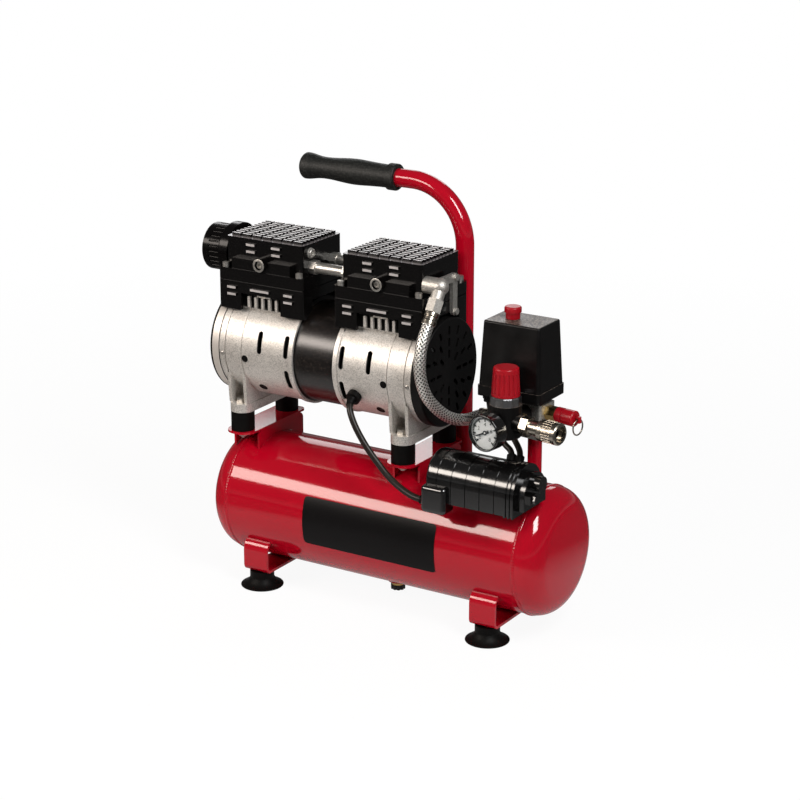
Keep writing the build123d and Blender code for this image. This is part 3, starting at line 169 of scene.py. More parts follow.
def castAluminium():
    mat, tree, shader, co = newMaterial("castAluminium")
    grit = put(tree, "TexNoise", {"Vector": co, "Scale": perMm(1.1), "Detail": 5.0, "Roughness": 0.7})
    cloud = put(tree, "TexNoise", {"Vector": co, "Scale": perMm(24), "Detail": 3.0})
    tone = put(tree, "Mix", {"Factor": cloud, "A": "#cbc5be", "B": "#e4e0da"}, data_type="RGBA")
    speck = put(tree, "MapRange", {"Value": grit, "From Min": 0.34, "From Max": 0.54, "To Min": 0.42})
    shade = put(tree, "Mix", {"Factor": 1.0, "A": tone, "B": speck}, data_type="RGBA", blend_type="MULTIPLY")
    place = put(tree, "SeparateXYZ", {"Vector": co})
    high = put(tree, "Math", {0: place.outputs["Z"], 1: casting["padFloor"] / 1000.0},
               operation="GREATER_THAN")
    depth = put(tree, "Math", {0: place.outputs["Y"], 1: tankShift[1] / 1000.0}, operation="SUBTRACT")
    depth = put(tree, "Math", {0: depth}, operation="ABSOLUTE")
    inner = put(tree, "Math", {0: depth, 1: casting["padHalf"] / 1000.0}, operation="LESS_THAN")
    shadedPad = put(tree, "Math", {0: high, 1: inner}, operation="MULTIPLY")
    deepest = (casting["skin"] - casting["fade"]) / 1000.0
    under = put(tree, "MapRange", {"Value": fromAxis(tree, co), "From Min": deepest,
                                   "From Max": casting["skin"] / 1000.0, "To Min": 1.0, "To Max": 0.0})
    # painted shade: the pads under the cylinders and the crankcase's inside go near black and lose their
    # metal
    black = put(tree, "Math", {0: shadedPad, 1: under}, operation="MAXIMUM")
    final = put(tree, "Mix", {"Factor": black, "A": shade, "B": "#0b0a0a"}, data_type="RGBA")
    metal = put(tree, "MapRange", {"Value": black, "To Min": casting["metal"], "To Max": 0.0})
    bump = put(tree, "Bump", {"Height": grit, "Strength": 0.35, "Distance": 0.0004})
    rough = put(tree, "MapRange", {"Value": grit, "To Min": 0.34, "To Max": 0.5})
    join(tree, shader, {"Base Color": final, "Metallic": metal, "Roughness": rough, "Normal": bump})
    return mat


# gloss black stoved enamel over cast aluminium; the up-facing rib tops and the forward-facing fronts of the
# face ribs are pale metal, partly rubbed bare and partly painted highlight, and the up-facing valleys of the
# top are paler, partly dust and partly painted highlight; facing is how squarely a face looks up or forward
headRubAndSheen = {"top": 393.5, "floor": 390.5, "headFront": -40.4, "blockFront": -48.4, "slack": 0.35,
           "facing": 0.9, "metal": 0.6}


def blackHeadEnamel():
    mat, tree, shader, co = newMaterial("blackHeadEnamel", **{"Specular IOR Level": 0.4})
    grit = put(tree, "TexNoise", {"Vector": co, "Scale": perMm(1.6), "Detail": 4.0})
    place = put(tree, "SeparateXYZ", {"Vector": co})
    facing = put(tree, "SeparateXYZ", {"Vector": put(tree, "NewGeometry").outputs["Normal"]})
    up = put(tree, "Math", {0: facing.outputs["Z"], 1: headRubAndSheen["facing"]}, operation="GREATER_THAN")
    front = put(tree, "Math", {0: facing.outputs["Y"], 1: -headRubAndSheen["facing"]}, operation="LESS_THAN")
    levels = {"top": ("Z", headRubAndSheen["top"]), "floor": ("Z", headRubAndSheen["floor"]),
              "head": ("Y", headRubAndSheen["headFront"] + tankShift[1]),
              "block": ("Y", headRubAndSheen["blockFront"] + tankShift[1])}
    at = {name: put(tree, "Math", {0: place.outputs[axis], 1: level / 1000.0, 2: headRubAndSheen["slack"] / 1000.0},
                    operation="COMPARE") for name, (axis, level) in levels.items()}
    ribs = put(tree, "Math", {0: at["head"], 1: at["block"]}, operation="MAXIMUM")
    ribs = put(tree, "Math", {0: ribs, 1: front}, operation="MULTIPLY")
    patch = put(tree, "TexNoise", {"Vector": co, "Scale": perMm(4), "Detail": 5.0, "Roughness": 0.7})
    wornAndLit = put(tree, "MapRange", {"Value": patch, "From Min": 0.42, "From Max": 0.56, "To Min": 0.15})
    topsWornAndLit = put(tree, "Math", {0: at["top"], 1: up}, operation="MULTIPLY")
    topsWornAndLit = put(tree, "Math", {0: topsWornAndLit, 1: wornAndLit}, operation="MULTIPLY")
    # painted highlight together with bare metal: up-facing rib tops in patches and forward-facing rib fronts
    bareAndSheen = put(tree, "Math", {0: topsWornAndLit, 1: ribs}, operation="MAXIMUM")
    # painted highlight together with dust: the up-facing floor of the top is mixed paler
    dustyAndLit = put(tree, "Math", {0: at["floor"], 1: up}, operation="MULTIPLY")
    ground = put(tree, "Mix", {"Factor": dustyAndLit, "A": "#070606", "B": "#625d5e"}, data_type="RGBA")
    tone = put(tree, "Mix", {"Factor": bareAndSheen, "A": ground, "B": "#c9c4c3"}, data_type="RGBA")
    bump = put(tree, "Bump", {"Height": grit, "Strength": 0.12, "Distance": 0.0004})
    metal = put(tree, "Math", {0: bareAndSheen, 1: headRubAndSheen["metal"]}, operation="MULTIPLY")
    rough = put(tree, "MapRange", {"Value": bareAndSheen, "To Min": 0.19, "To Max": 0.42})
    join(tree, shader, {"Base Color": tone, "Metallic": metal, "Roughness": rough, "Normal": bump})
    return mat


# gloss black lacquer on rolled stator iron: brown-black, with lamination lines and a grainy sheen
def statorLacquer():
    mat, tree, shader, co = newMaterial("statorLacquer", **{"Roughness": 0.25, "Specular IOR Level": 0.6})
    lines = perMm(1.3) * pi / 10.0  # a wave's scale of 1 is a period of pi / 10
    layers = put(tree, "TexWave", {"Vector": co, "Scale": lines, "Distortion": 0.4}, bands_direction="X")
    dust = put(tree, "TexNoise", {"Vector": co, "Scale": perMm(1.8), "Detail": 6.0, "Roughness": 0.7})
    fleck = put(tree, "MapRange", {"Value": dust, "From Min": 0.5, "From Max": 0.7})
    tone = put(tree, "Mix", {"Factor": fleck, "A": "#0b0807", "B": "#332b25"}, data_type="RGBA")
    both = put(tree, "Math", {0: layers, 1: dust}, operation="ADD")
    bump = put(tree, "Bump", {"Height": both, "Strength": 0.12, "Distance": 0.0004})
    join(tree, shader, {"Base Color": tone, "Normal": bump})
    return mat


# moulded ABS in black: the fine spark texture of its mould, from matt covers whose up-facing tops get a paler
# speckled film, partly dust and partly painted highlight, to the polished capacitor case
def blackAbs(name, deep, pale, smoothest, roughest, specular, spark, dust):
    mat, tree, shader, co = newMaterial(name, **{"Specular IOR Level": specular})
    grain = put(tree, "TexNoise", {"Vector": co, "Scale": perMm(0.9), "Detail": 3.0})
    haze = put(tree, "TexNoise", {"Vector": co, "Scale": perMm(22), "Detail": 3.0})
    tone = put(tree, "Mix", {"Factor": haze, "A": deep, "B": pale}, data_type="RGBA")
    facing = put(tree, "SeparateXYZ", {"Vector": put(tree, "NewGeometry").outputs["Normal"]})
    # painted highlight together with dust: up-facing tops are mixed towards a pale speckled film
    flat = {"Value": facing.outputs["Z"], "From Min": 0.9, "From Max": 0.99, "To Max": dust}
    top = put(tree, "MapRange", flat)
    speck = put(tree, "TexNoise", {"Vector": co, "Scale": perMm(2.6), "Detail": 5.0, "Roughness": 0.7})
    topFilmDustAndSheen = put(tree, "MapRange", {"Value": speck, "From Min": 0.44, "From Max": 0.62})
    topFilmDustAndSheen = put(tree, "Math", {0: topFilmDustAndSheen, 1: top}, operation="MULTIPLY")
    tone = put(tree, "Mix", {"Factor": topFilmDustAndSheen, "A": tone, "B": "#9a8a7e"}, data_type="RGBA")
    rough = put(tree, "MapRange", {"Value": haze, "From Min": 0.3, "From Max": 0.7,
                                   "To Min": smoothest, "To Max": roughest})
    bump = put(tree, "Bump", {"Height": grain, "Strength": spark, "Distance": 0.0003})
    join(tree, shader, {"Base Color": tone, "Roughness": rough, "Normal": bump})
    return mat


# end covers of the motor: matt black moulded grilles, the left one on a cast lid with a bare aluminium side;
# that side is between two X of the shared frame, beyond the edge's radius, on faces that look sideways
endCover = {"lidLeft": -196.4, "lidRight": -187.0, "edge": 57.5, "sideways": 0.4, "metal": 0.6}


def motorCover():
    mat, tree, shader, co = newMaterial("motorCover", **{"Specular IOR Level": 0.16})
    grain = put(tree, "TexNoise", {"Vector": co, "Scale": perMm(1.1), "Detail": 4.0})
    place = put(tree, "SeparateXYZ", {"Vector": co})
    facing = put(tree, "SeparateXYZ", {"Vector": put(tree, "NewGeometry").outputs["Normal"]})
    middle = (endCover["lidLeft"] + endCover["lidRight"]) / 2000.0
    span = endCover["lidRight"] / 1000.0 - middle
    left = put(tree, "Math", {0: place.outputs["X"], 1: middle, 2: span}, operation="COMPARE")
    lengthways = put(tree, "Math", {0: facing.outputs["X"]}, operation="ABSOLUTE")
    rim = put(tree, "Math", {0: lengthways, 1: endCover["sideways"]}, operation="LESS_THAN")
    outer = put(tree, "Math", {0: fromAxis(tree, co), 1: endCover["edge"] / 1000.0}, operation="GREATER_THAN")
    lid = put(tree, "Math", {0: left, 1: rim}, operation="MULTIPLY")
    lid = put(tree, "Math", {0: lid, 1: outer}, operation="MULTIPLY")
    plastic = put(tree, "Mix", {"Factor": grain, "A": "#060505", "B": "#100f0f"}, data_type="RGBA")
    tone = put(tree, "Mix", {"Factor": lid, "A": plastic, "B": "#cfc9c2"}, data_type="RGBA")
    metal = put(tree, "Math", {0: lid, 1: endCover["metal"]}, operation="MULTIPLY")
    bump = put(tree, "Bump", {"Height": grain, "Strength": 0.3, "Distance": 0.0004})
    rough = put(tree, "MapRange", {"Value": grain, "To Min": 0.36, "To Max": 0.54})
    join(tree, shader, {"Base Color": tone, "Metallic": metal, "Roughness": rough, "Normal": bump})
    return mat


# zinc: grey with a crystalline mottling, smooth where it is plated on steel and coarse where it is die-cast
def zincFinish(name, rough, size, relief):
    mat, tree, shader, co = newMaterial(name, Metallic=0.9, Roughness=rough)
    grain = put(tree, "TexVoronoi", {"Vector": co, "Scale": perMm(size)})
    tone = put(tree, "Mix", {"Factor": grain, "A": "#aba79f", "B": "#d0cdc8"}, data_type="RGBA")
    bump = put(tree, "Bump", {"Height": grain, "Strength": relief, "Distance": 0.0003})
    join(tree, shader, {"Base Color": tone, "Normal": bump})
    return mat


# nickel plated brass: bright and a little warm, cloudy where the plating is thin
def nickelPlate():
    mat, tree, shader, co = newMaterial("nickelPlate", Metallic=1.0)
    cloud = put(tree, "TexNoise", {"Vector": co, "Scale": perMm(5), "Detail": 5.0, "Roughness": 0.6})
    tone = put(tree, "Mix", {"Factor": cloud, "A": "#8f8679", "B": "#bdb6aa"}, data_type="RGBA")
    rough = put(tree, "MapRange", {"Value": cloud, "To Min": 0.16, "To Max": 0.36})
    bump = put(tree, "Bump", {"Height": cloud, "Strength": 0.03, "Distance": 0.0004})
    join(tree, shader, {"Base Color": tone, "Roughness": rough, "Normal": bump})
    return mat


# turned brass: warm yellow metal, lightly tarnished
def turnedBrass():
    mat, tree, shader, co = newMaterial("turnedBrass", Metallic=1.0, Roughness=0.24)
    cloud = put(tree, "TexNoise", {"Vector": co, "Scale": perMm(5), "Detail": 4.0})
    tone = put(tree, "Mix", {"Factor": cloud, "A": "#a8874c", "B": "#d8bc80"}, data_type="RGBA")
    join(tree, shader, {"Base Color": tone})
    return mat


# ground carbon steel of the shaft, the cranks and the nut under the regulator knob
def groundSteel():
    mat, tree, shader, co = newMaterial("groundSteel", Metallic=1.0, Roughness=0.3)
    lines = put(tree, "TexNoise", {"Vector": co, "Scale": perMm(2), "Detail": 3.0})
    tone = put(tree, "Mix", {"Factor": lines, "A": "#8b8b8d", "B": "#b9b9bb"}, data_type="RGBA")
    join(tree, shader, {"Base Color": tone})
    return mat


# injection moulded red ABS: clear red with a soft gloss
def redAbs():
    mat, tree, shader, co = newMaterial("redAbs", **{"Subsurface Weight": 0.05, "Specular IOR Level": 0.3})
    haze = put(tree, "TexNoise", {"Vector": co, "Scale": perMm(9), "Detail": 3.0})
    tone = put(tree, "Mix", {"Factor": haze, "A": "#860613", "B": "#990b19"}, data_type="RGBA")
    rough = put(tree, "MapRange", {"Value": haze, "To Min": 0.26, "To Max": 0.38})
    join(tree, shader, {"Base Color": tone, "Roughness": rough})
    return mat


# soft PVC sheath: charcoal with a slightly oily sheen
def pvcSheath():
    mat, tree, shader, co = newMaterial("pvcSheath", **{"Roughness": 0.36, "Specular IOR Level": 0.3})
    grain = put(tree, "TexNoise", {"Vector": co, "Scale": perMm(1.2), "Detail": 3.0})
    tone = put(tree, "Mix", {"Factor": grain, "A": "#0c0a08", "B": "#241d18"}, data_type="RGBA")
    bump = put(tree, "Bump", {"Height": grain, "Strength": 0.2, "Distance": 0.0003})
    join(tree, shader, {"Base Color": tone, "Normal": bump})
    return mat


# braided stainless wire: two sets of bundles crossing on the slant, from the hose's own UV, with painted
# shade darkening the gaps between bundles
def braidedWire():
    mat, tree, shader, co = newMaterial("braidedWire", Metallic=0.85)
    place = put(tree, "SeparateXYZ", {"Vector": put(tree, "UVMap", uv_map="weave").outputs["UV"]})
    crossing = []
    for way in ("ADD", "SUBTRACT"):
        slant = put(tree, "Math", {0: place.outputs["X"], 1: place.outputs["Y"]}, operation=way)
        swing = put(tree, "Math", {0: slant, 1: 2 * pi}, operation="MULTIPLY")
        crossing.append(put(tree, "Math", {0: swing}, operation="COSINE"))
    over = put(tree, "Math", {0: crossing[0], 1: crossing[1]}, operation="MAXIMUM")
    lift = put(tree, "MapRange", {"Value": over, "From Min": -0.35, "From Max": 0.8})
    # painted shade: the tone falls to near black from each bundle's crown into the gaps
    tone = put(tree, "Mix", {"Factor": lift, "A": "#1d1a18", "B": "#f4f0ea"}, data_type="RGBA")
    bump = put(tree, "Bump", {"Height": lift, "Strength": 0.6, "Distance": 0.0005})
    mottle = put(tree, "TexNoise", {"Vector": co, "Scale": perMm(1.5), "Detail": 2.0})
    rough = put(tree, "MapRange", {"Value": mottle, "To Min": 0.26, "To Max": 0.42})
    join(tree, shader, {"Base Color": tone, "Roughness": rough, "Normal": bump})
    return mat


# printed card behind the gauge glass: matt white
def dialCard():
    mat, tree, shader, co = newMaterial("dialCard", Roughness=0.6)
    fibre = put(tree, "TexNoise", {"Vector": co, "Scale": perMm(1.5), "Detail": 3.0})
    tone = put(tree, "Mix", {"Factor": fibre, "A": "#b2b0ae", "B": "#c6c4c2"}, data_type="RGBA")
    join(tree, shader, {"Base Color": tone})
    return mat


# printing ink and the painted needle: flat black
def blackInk():
    mat, tree, shader, co = newMaterial("blackInk", Roughness=0.5)
    cover = put(tree, "TexNoise", {"Vector": co, "Scale": perMm(1), "Detail": 2.0})
    tone = put(tree, "Mix", {"Factor": cover, "A": "#090909", "B": "#171616"}, data_type="RGBA")
    join(tree, shader, {"Base Color": tone})
    return mat


# clear acrylic gauge window
def clearAcrylic():
    values = {"Base Color": "#f6f8f8", "Transmission Weight": 1.0, "IOR": 1.08}
    mat, tree, shader, co = newMaterial("clearAcrylic", **values)
    smear = put(tree, "TexNoise", {"Vector": co, "Scale": perMm(7), "Detail": 3.0})
    rough = put(tree, "MapRange", {"Value": smear, "To Min": 0.01, "To Max": 0.06})
    join(tree, shader, {"Roughness": rough})
    return mat


# satin black vinyl of the bare plate on the tank
def blackVinyl():
    mat, tree, shader, co = newMaterial("blackVinyl", **{"Specular IOR Level": 0.12})
    grain = put(tree, "TexNoise", {"Vector": co, "Scale": perMm(1.4), "Detail": 3.0})
    tone = put(tree, "Mix", {"Factor": grain, "A": "#080707", "B": "#121011"}, data_type="RGBA")
    rough = put(tree, "MapRange", {"Value": grain, "To Min": 0.28, "To Max": 0.4})
    bump = put(tree, "Bump", {"Height": grain, "Strength": 0.1, "Distance": 0.0002})
    join(tree, shader, {"Base Color": tone, "Roughness": rough, "Normal": bump})
    return mat


finish = {
    "red": redPowderCoat(), "rubber": mouldedRubber(), "grip": foamGrip(), "aluminium": castAluminium(),
    "head": blackHeadEnamel(), "stator": statorLacquer(),
    "zinc": zincFinish("zincSteel", rough=0.36, size=1.4, relief=0.12),
    "castZinc": zincFinish("castZinc", rough=0.5, size=1.9, relief=0.5),
    "nickel": nickelPlate(), "brass": turnedBrass(), "steel": groundSteel(), "redAbs": redAbs(),
    "pvc": pvcSheath(), "braid": braidedWire(), "card": dialCard(), "ink": blackInk(),
    "acrylic": clearAcrylic(), "vinyl": blackVinyl(), "cover": motorCover(),
    "polishedAbs": blackAbs("polishedBlackAbs", deep="#050404", pale="#0a0909", smoothest=0.14,
                            roughest=0.22, specular=0.16, spark=0.06, dust=0.0),
    "satinAbs": blackAbs("satinBlackAbs", deep="#060505", pale="#0c0b0b", smoothest=0.3,
                         roughest=0.46, specular=0.26, spark=0.25, dust=0.6),
    "glossAbs": blackAbs("glossBlackAbs", deep="#050505", pale="#0b0a0a", smoothest=0.1,
                         roughest=0.2, specular=0.95, spark=0.05, dust=0.0),
}
nodeFinish = {
    "red": ["tank_shell", "tank_ends", "foot_straps", "motor_brackets", "riser_pipe", "handle_tube"],
    "rubber": ["rubber_feet", "rubber_dampers", "cable_grommet"],
    "grip": ["handle_grip"],
    "zinc": ["damper_bolts", "head_bolts", "crossover_pipes"],
    "castZinc": ["discharge_elbow", "manifold"],
    "stator": ["stator"],
    "aluminium": ["crankcase_left", "crankcase_right", "cylinder_sleeves", "piston_left", "piston_right"],
    "head": ["cylinder_block_left", "cylinder_block_right", "head_cover_left", "head_cover_right",
             "valve_plates"],
    "cover": ["fan_covers"],
    "satinAbs": ["switch_base", "switch_cover", "regulator_body", "cooling_fans", "capacitor_saddle"],
    "polishedAbs": ["filter_base", "filter_cover"],
    "glossAbs": ["capacitor_case", "gauge_case"],
    "steel": ["motor_shaft", "rotor_core", "cranks", "main_bearings", "crank_pin_left", "crank_pin_right",
              "regulator_bonnet"],
    "nickel": ["check_valve", "coupler_body", "coupler_sleeve", "safety_ring"],
    "brass": ["safety_body", "drain_valve"],
    "redAbs": ["switch_knob", "regulator_knob", "safety_cap"],
    "card": ["gauge_dial"],
    "ink": ["gauge_needle", "drain_knob"],
    "acrylic": ["gauge_lens"],
    "braid": ["delivery_hose"],
    "pvc": ["motor_cable", "switch_cables"],
}
for key, names in nodeFinish.items():
    for name in names:
        nodes[name].data.materials.clear()
        nodes[name].data.materials.append(finish[key])
print("materials:", len(finish))


# one mesh from point grids, rows along u and columns along v, facing v x u; corners that meet are merged
meshing = {"merge": 1e-6, "sharpAngle": 38}


def gridPiece(name, grids, mat, uv=None):
    points, quads, start = [], [], 0
    for grid in grids:
        rows, cols = grid.shape[:2]
        index = start + np.arange(rows * cols).reshape(rows, cols)
        corners = [index[:-1, :-1], index[:-1, 1:], index[1:, 1:], index[1:, :-1]]
        quads.append(np.stack(corners, -1).reshape(-1, 4))
        points.append(grid.reshape(-1, 3))
        start += rows * cols
    quads = np.concatenate(quads)
    mesh = bpy.data.meshes.new(name)
    mesh.from_pydata(np.concatenate(points).tolist(), [], quads.tolist())
    if uv is not None:
        layer = mesh.uv_layers.new(name="weave")
        layer.uv.foreach_set("vector", uv.reshape(-1, 2)[quads.ravel()].ravel())
    merged = bmesh.new()
    merged.from_mesh(mesh)
    bmesh.ops.remove_doubles(merged, verts=merged.verts, dist=meshing["merge"])
    merged.to_mesh(mesh)
    merged.free()
    mesh.polygons.foreach_set("use_smooth", np.ones(len(mesh.polygons), bool))
    mesh.set_sharp_from_angle(angle=radians(meshing["sharpAngle"]))
    mesh.materials.append(mat)
    piece = bpy.data.objects.new(name, mesh)
    scene.collection.objects.link(piece)
    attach(piece, "frame")
    return piece


# a profile of (along, radius) pairs turned about an axis, from its base to its tip;
# with n flats, r(t) = r cos(pi/n) / cos(t - nearest flat)
def turnedGrid(origin, axis, profile, flats=0, around=48):
    axis = np.array(axis, float) / np.linalg.norm(axis)
    helper = (1.0, 0.0, 0.0) if abs(axis[2]) > 0.9 else (0.0, 0.0, 1.0)  # any direction not near the axis
    first = np.cross(helper, axis)
    first /= np.linalg.norm(first)
    second = np.cross(axis, first)
    theta = np.linspace(0, 2 * pi, around + 1)
    flat = cos(pi / flats) / np.cos(theta % (2 * pi / flats) - pi / flats) if flats else np.ones_like(theta)
    along, radius = np.array(profile, float).T
    ring = (np.cos(theta) * flat)[:, None] * first + (np.sin(theta) * flat)[:, None] * second
    return toRow(np.array(origin) + along[:, None, None] * axis + radius[:, None, None] * ring)


# a tube along a path in metres: one ring of the row's radius, in millimetres, at each point,
# square to the path and turned from one fixed reference direction
def tubeGrid(path, radius, reference, around=32):
    tangent = np.gradient(path, axis=0)
    tangent /= np.linalg.norm(tangent, axis=1, keepdims=True)
    side = np.cross(tangent, np.array(reference, float))
    side /= np.linalg.norm(side, axis=1, keepdims=True)
    up = np.cross(tangent, side)
    theta = np.linspace(0, 2 * pi, around + 1)
    ring = np.cos(theta)[None, :, None] * side[:, None, :] + np.sin(theta)[None, :, None] * up[:, None, :]
    return path[:, None, :] + np.broadcast_to(radius, len(path))[:, None, None] / 1000.0 * ring


# cords: the route's points are the control points of one smooth NURBS line;
# radii here are millimetres and lengths are metres
cordLine = {"steps": 24, "bevelSteps": 6, "samples": 360}


def routeSpline(name, points):
    data = bpy.data.curves.new(name, "CURVE")
    data.dimensions = "3D"
    data.resolution_u = cordLine["steps"]
    spline = data.splines.new("NURBS")
    spline.points.add(len(points) - 1)
    spline.points.foreach_set("co", np.hstack([toRow(points), np.ones((len(points), 1))]).ravel())
    spline.order_u = 3
    spline.use_endpoint_u = True
    curve = bpy.data.objects.new(name, data)
    scene.collection.objects.link(curve)
    return curve


# points of a route's spline as Blender evaluates it, spaced evenly by length in metres
def splinePoints(points, count):
    guide = routeSpline("routeGuide", points)
    mesh = bpy.data.meshes.new_from_object(guide)
    raw = np.empty(len(mesh.vertices) * 3)
    mesh.vertices.foreach_get("co", raw)
    raw = raw.reshape(-1, 3)
    bpy.data.meshes.remove(mesh)
    bpy.data.objects.remove(guide)
    run = np.concatenate([[0], np.cumsum(np.linalg.norm(np.diff(raw, axis=0), axis=1))])
    at = np.linspace(0, run[-1], count)
    return np.stack([np.interp(at, run, raw[:, k]) for k in range(3)], 1), at


motorCable = {
    "points": [(-20.9, -57.97, 239.22), (-20.9, -63.37, 236.59), (-16.0, -70.0, 228.0), (-7.0, -72.5, 213.0),
               (5.0, -73.0, 196.5), (19.0, -74.0, 182.0), (36.0, -75.5, 167.0), (54.0, -77.5, 157.5),
               (72.0, -80.017, 152.514), (84.0, -80.017, 152.514)],
    "radius": 3.5, "length": 0.1495,
}
frontLead = {
    "points": [(122.0, -16.0, 250.3), (122.0, -16.0, 244.3), (132.0, -21.0, 224.0), (147.0, -29.0, 211.5),
               (162.0, -35.221, 206.642), (162.0, -40.383, 199.269)],
    "radius": 3.2, "length": 0.0748,
}
rearLead = {
    "points": [(134.5, -16.0, 250.3), (134.5, -16.0, 244.3), (143.5, -16.5, 226.0), (158.0, -23.5, 214.5),
               (171.5, -35.221, 206.642), (171.5, -40.383, 199.269)],
    "radius": 3.2, "length": 0.0736,
}


def plainCord(name, spec, replaced):
    curve = routeSpline(name, spec["points"])
    curve.data.bevel_depth = spec["radius"] / 1000.0
    curve.data.bevel_resolution = cordLine["bevelSteps"]
    curve.data.use_fill_caps = True
    curve.data.materials.append(finish["pvc"])
    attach(curve, "frame")
    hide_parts(replaced)


plainCord("motorCable", motorCable, "motor_cable")
plainCord("frontLead", frontLead, "switch_cables")
plainCord("rearLead", rearLead, "switch_cables")

# rubber boots where the cords go in: a ribbed cone round the motor cable's first stretch,
# r = big - t (big - small) + rib cos(2 pi ribs t), and a plain sleeve round the last stretch of each cord
boots = {"length": 0.0085, "big": 4.9, "small": 3.8, "ribs": 2, "rib": 0.15, "seat": 4.9, "seatLength": 0.006}


def cordBoots():
    path, at = splinePoints(motorCable["points"], cordLine["samples"])
    inside = at <= boots["length"]
    t = at[inside] / boots["length"]
    ribs = boots["rib"] * np.cos(2 * pi * boots["ribs"] * t)
    grids = [tubeGrid(path[inside], boots["big"] - t * (boots["big"] - boots["small"]) + ribs, (1, 0, 0))]
    for spec in (motorCable, frontLead, rearLead):
        path, at = splinePoints(spec["points"], cordLine["samples"])
        inside = at >= at[-1] - boots["seatLength"]
        grids.append(tubeGrid(path[inside], boots["seat"], (0, 1, 0) if spec is motorCable else (1, 0, 0)))
    gridPiece("cordBoots", grids, finish["rubber"])


cordBoots()

# braided hose: a plain tube whose UV counts wire bundles, u along in cells and v round in starts
hose = {
    "points": [(70.3, -46.217, 344.458), (70.3, -52.927, 334.509), (70.0, -66.0, 318.0), (70.0, -70.5, 298.0),
               (70.5, -70.0, 280.0), (72.0, -61.5, 259.0), (75.5, -44.0, 240.0), (80.0, -24.0, 225.5),
               (88.0, -4.0, 219.5), (99.758, 10.199, 225.3), (111.626, 8.425, 225.3)],
    "radius": 6.3, "length": 0.1964, "starts": 9, "cell": 4.4, "rows": 420, "around": 64,
    "reference": (0.3, 1.0, 0.0),
}
# crimped ferrule at each end: (share of its length, radius)
ferrule = {"length": 0.014, "rows": 40,
           "profile": [(0.0, 6.4), (0.02, 7.7), (0.3, 7.8), (0.36, 7.2), (0.62, 7.2), (0.68, 7.7),
                       (0.95, 7.6), (1.0, 6.5)]}


def braidedHose():
    path, at = splinePoints(hose["points"], hose["rows"])
    grid = tubeGrid(path, hose["radius"], hose["reference"], hose["around"])
    u = np.repeat(at[:, None] * 1000.0 / hose["cell"], hose["around"] + 1, 1)
    v = np.repeat(np.linspace(0, hose["starts"], hose["around"] + 1)[None, :], hose["rows"], 0)
    piece = gridPiece("deliveryHose", [grid], finish["braid"], uv=np.stack([u, v], -1))
    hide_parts("delivery_hose")
    stretch = np.linspace(0, ferrule["length"], ferrule["rows"])
    radius = np.interp(np.linspace(0, 1, ferrule["rows"]), *np.array(ferrule["profile"]).T)
    grids = []
    for run, line in ((at, path), (at[-1] - at[::-1], path[::-1])):
        end = np.stack([np.interp(stretch, run, line[:, k]) for k in range(3)], 1)
        grids.append(tubeGrid(end, radius, hose["reference"]))
    crimps = gridPiece("hoseFerrules", grids, finish["nickel"])


braidedHose()
print("cords laid")

# bare plate on the tank's front: a thin sheet rolled to the shell, its corners rounded by narrower outer rows
tank = {"radius": 70.0, "axisZ": 91.3, "seam": 182.0}
plate = {"left": -79.2, "right": 88.0, "top": 25.0, "bottom": -20.0, "lift": 0.3, "corner": 4.0, "steps": 60}


def tankPlate():
    r = tank["radius"] + plate["lift"]
    halfX = (plate["right"] - plate["left"]) / 2
    halfY = np.radians(plate["top"] - plate["bottom"]) * r / 2
    middle = np.radians(plate["top"] + plate["bottom"]) / 2
    v = np.linspace(-halfY, halfY, plate["steps"])
    over = np.clip(np.abs(v) - (halfY - plate["corner"]), 0, plate["corner"])
    width = halfX - plate["corner"] + np.sqrt(plate["corner"] ** 2 - over ** 2)
    x = np.linspace(-1, 1, plate["steps"])[None, :] * width[:, None]
    angle = middle + np.repeat(v[:, None], plate["steps"], 1) / r
    x = x + (plate["left"] + plate["right"]) / 2
    grid = np.stack([x, -r * np.cos(angle), tank["axisZ"] + r * np.sin(angle)], -1)
    gridPiece("tankPlate", [toRow(grid)], finish["vinyl"])


tankPlate()

# dished ends with both walls, turned on the tank's axis: a crown of radius R, then a knuckle k to the shell;
# crown: r = (R - inset) sin a, drop = R - (R - inset) cos a;
# knuckle: r = rim - k + (k - inset) sin a, drop = depth - (k - inset) cos a
dish = {"crown": 490.0, "knuckle": 27.0, "depth": 29.0, "wall": 2.0, "rows": 20, "around": 192}


def dishedEnds():
    big, k, rim = dish["crown"], dish["knuckle"], tank["radius"]
    lean = np.arcsin((rim - k) / (big - k))
    low, high = np.linspace(0, lean, dish["rows"]), np.linspace(lean, pi / 2, dish["rows"])[1:]
    walls = []
    for inset in (dish["wall"], 0.0):
        r = np.concatenate([(big - inset) * np.sin(low), rim - k + (k - inset) * np.sin(high)])
        drop = np.concatenate([big - (big - inset) * np.cos(low), dish["depth"] - (k - inset) * np.cos(high)])
        walls.append(np.stack([-drop, r], 1))
    profile = np.concatenate([walls[0], walls[1][::-1]])
    tip = tank["seam"] + dish["depth"]
    grids = [turnedGrid((way * tip, 0, tank["axisZ"]), (way, 0, 0), profile, around=dish["around"])
             for way in (-1, 1)]
    piece = gridPiece("dishedEnds", grids, finish["red"])
    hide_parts("tank_ends")


dishedEnds()

# weld beads round the tank's seams: r = tank - sink + rise (1 - s^2) (1 + ripple cos(waves t))
bead = {"half": 2.4, "rise": 0.9, "ripple": 0.2, "waves": 150, "sink": 0.1, "round": 721, "across": 9}


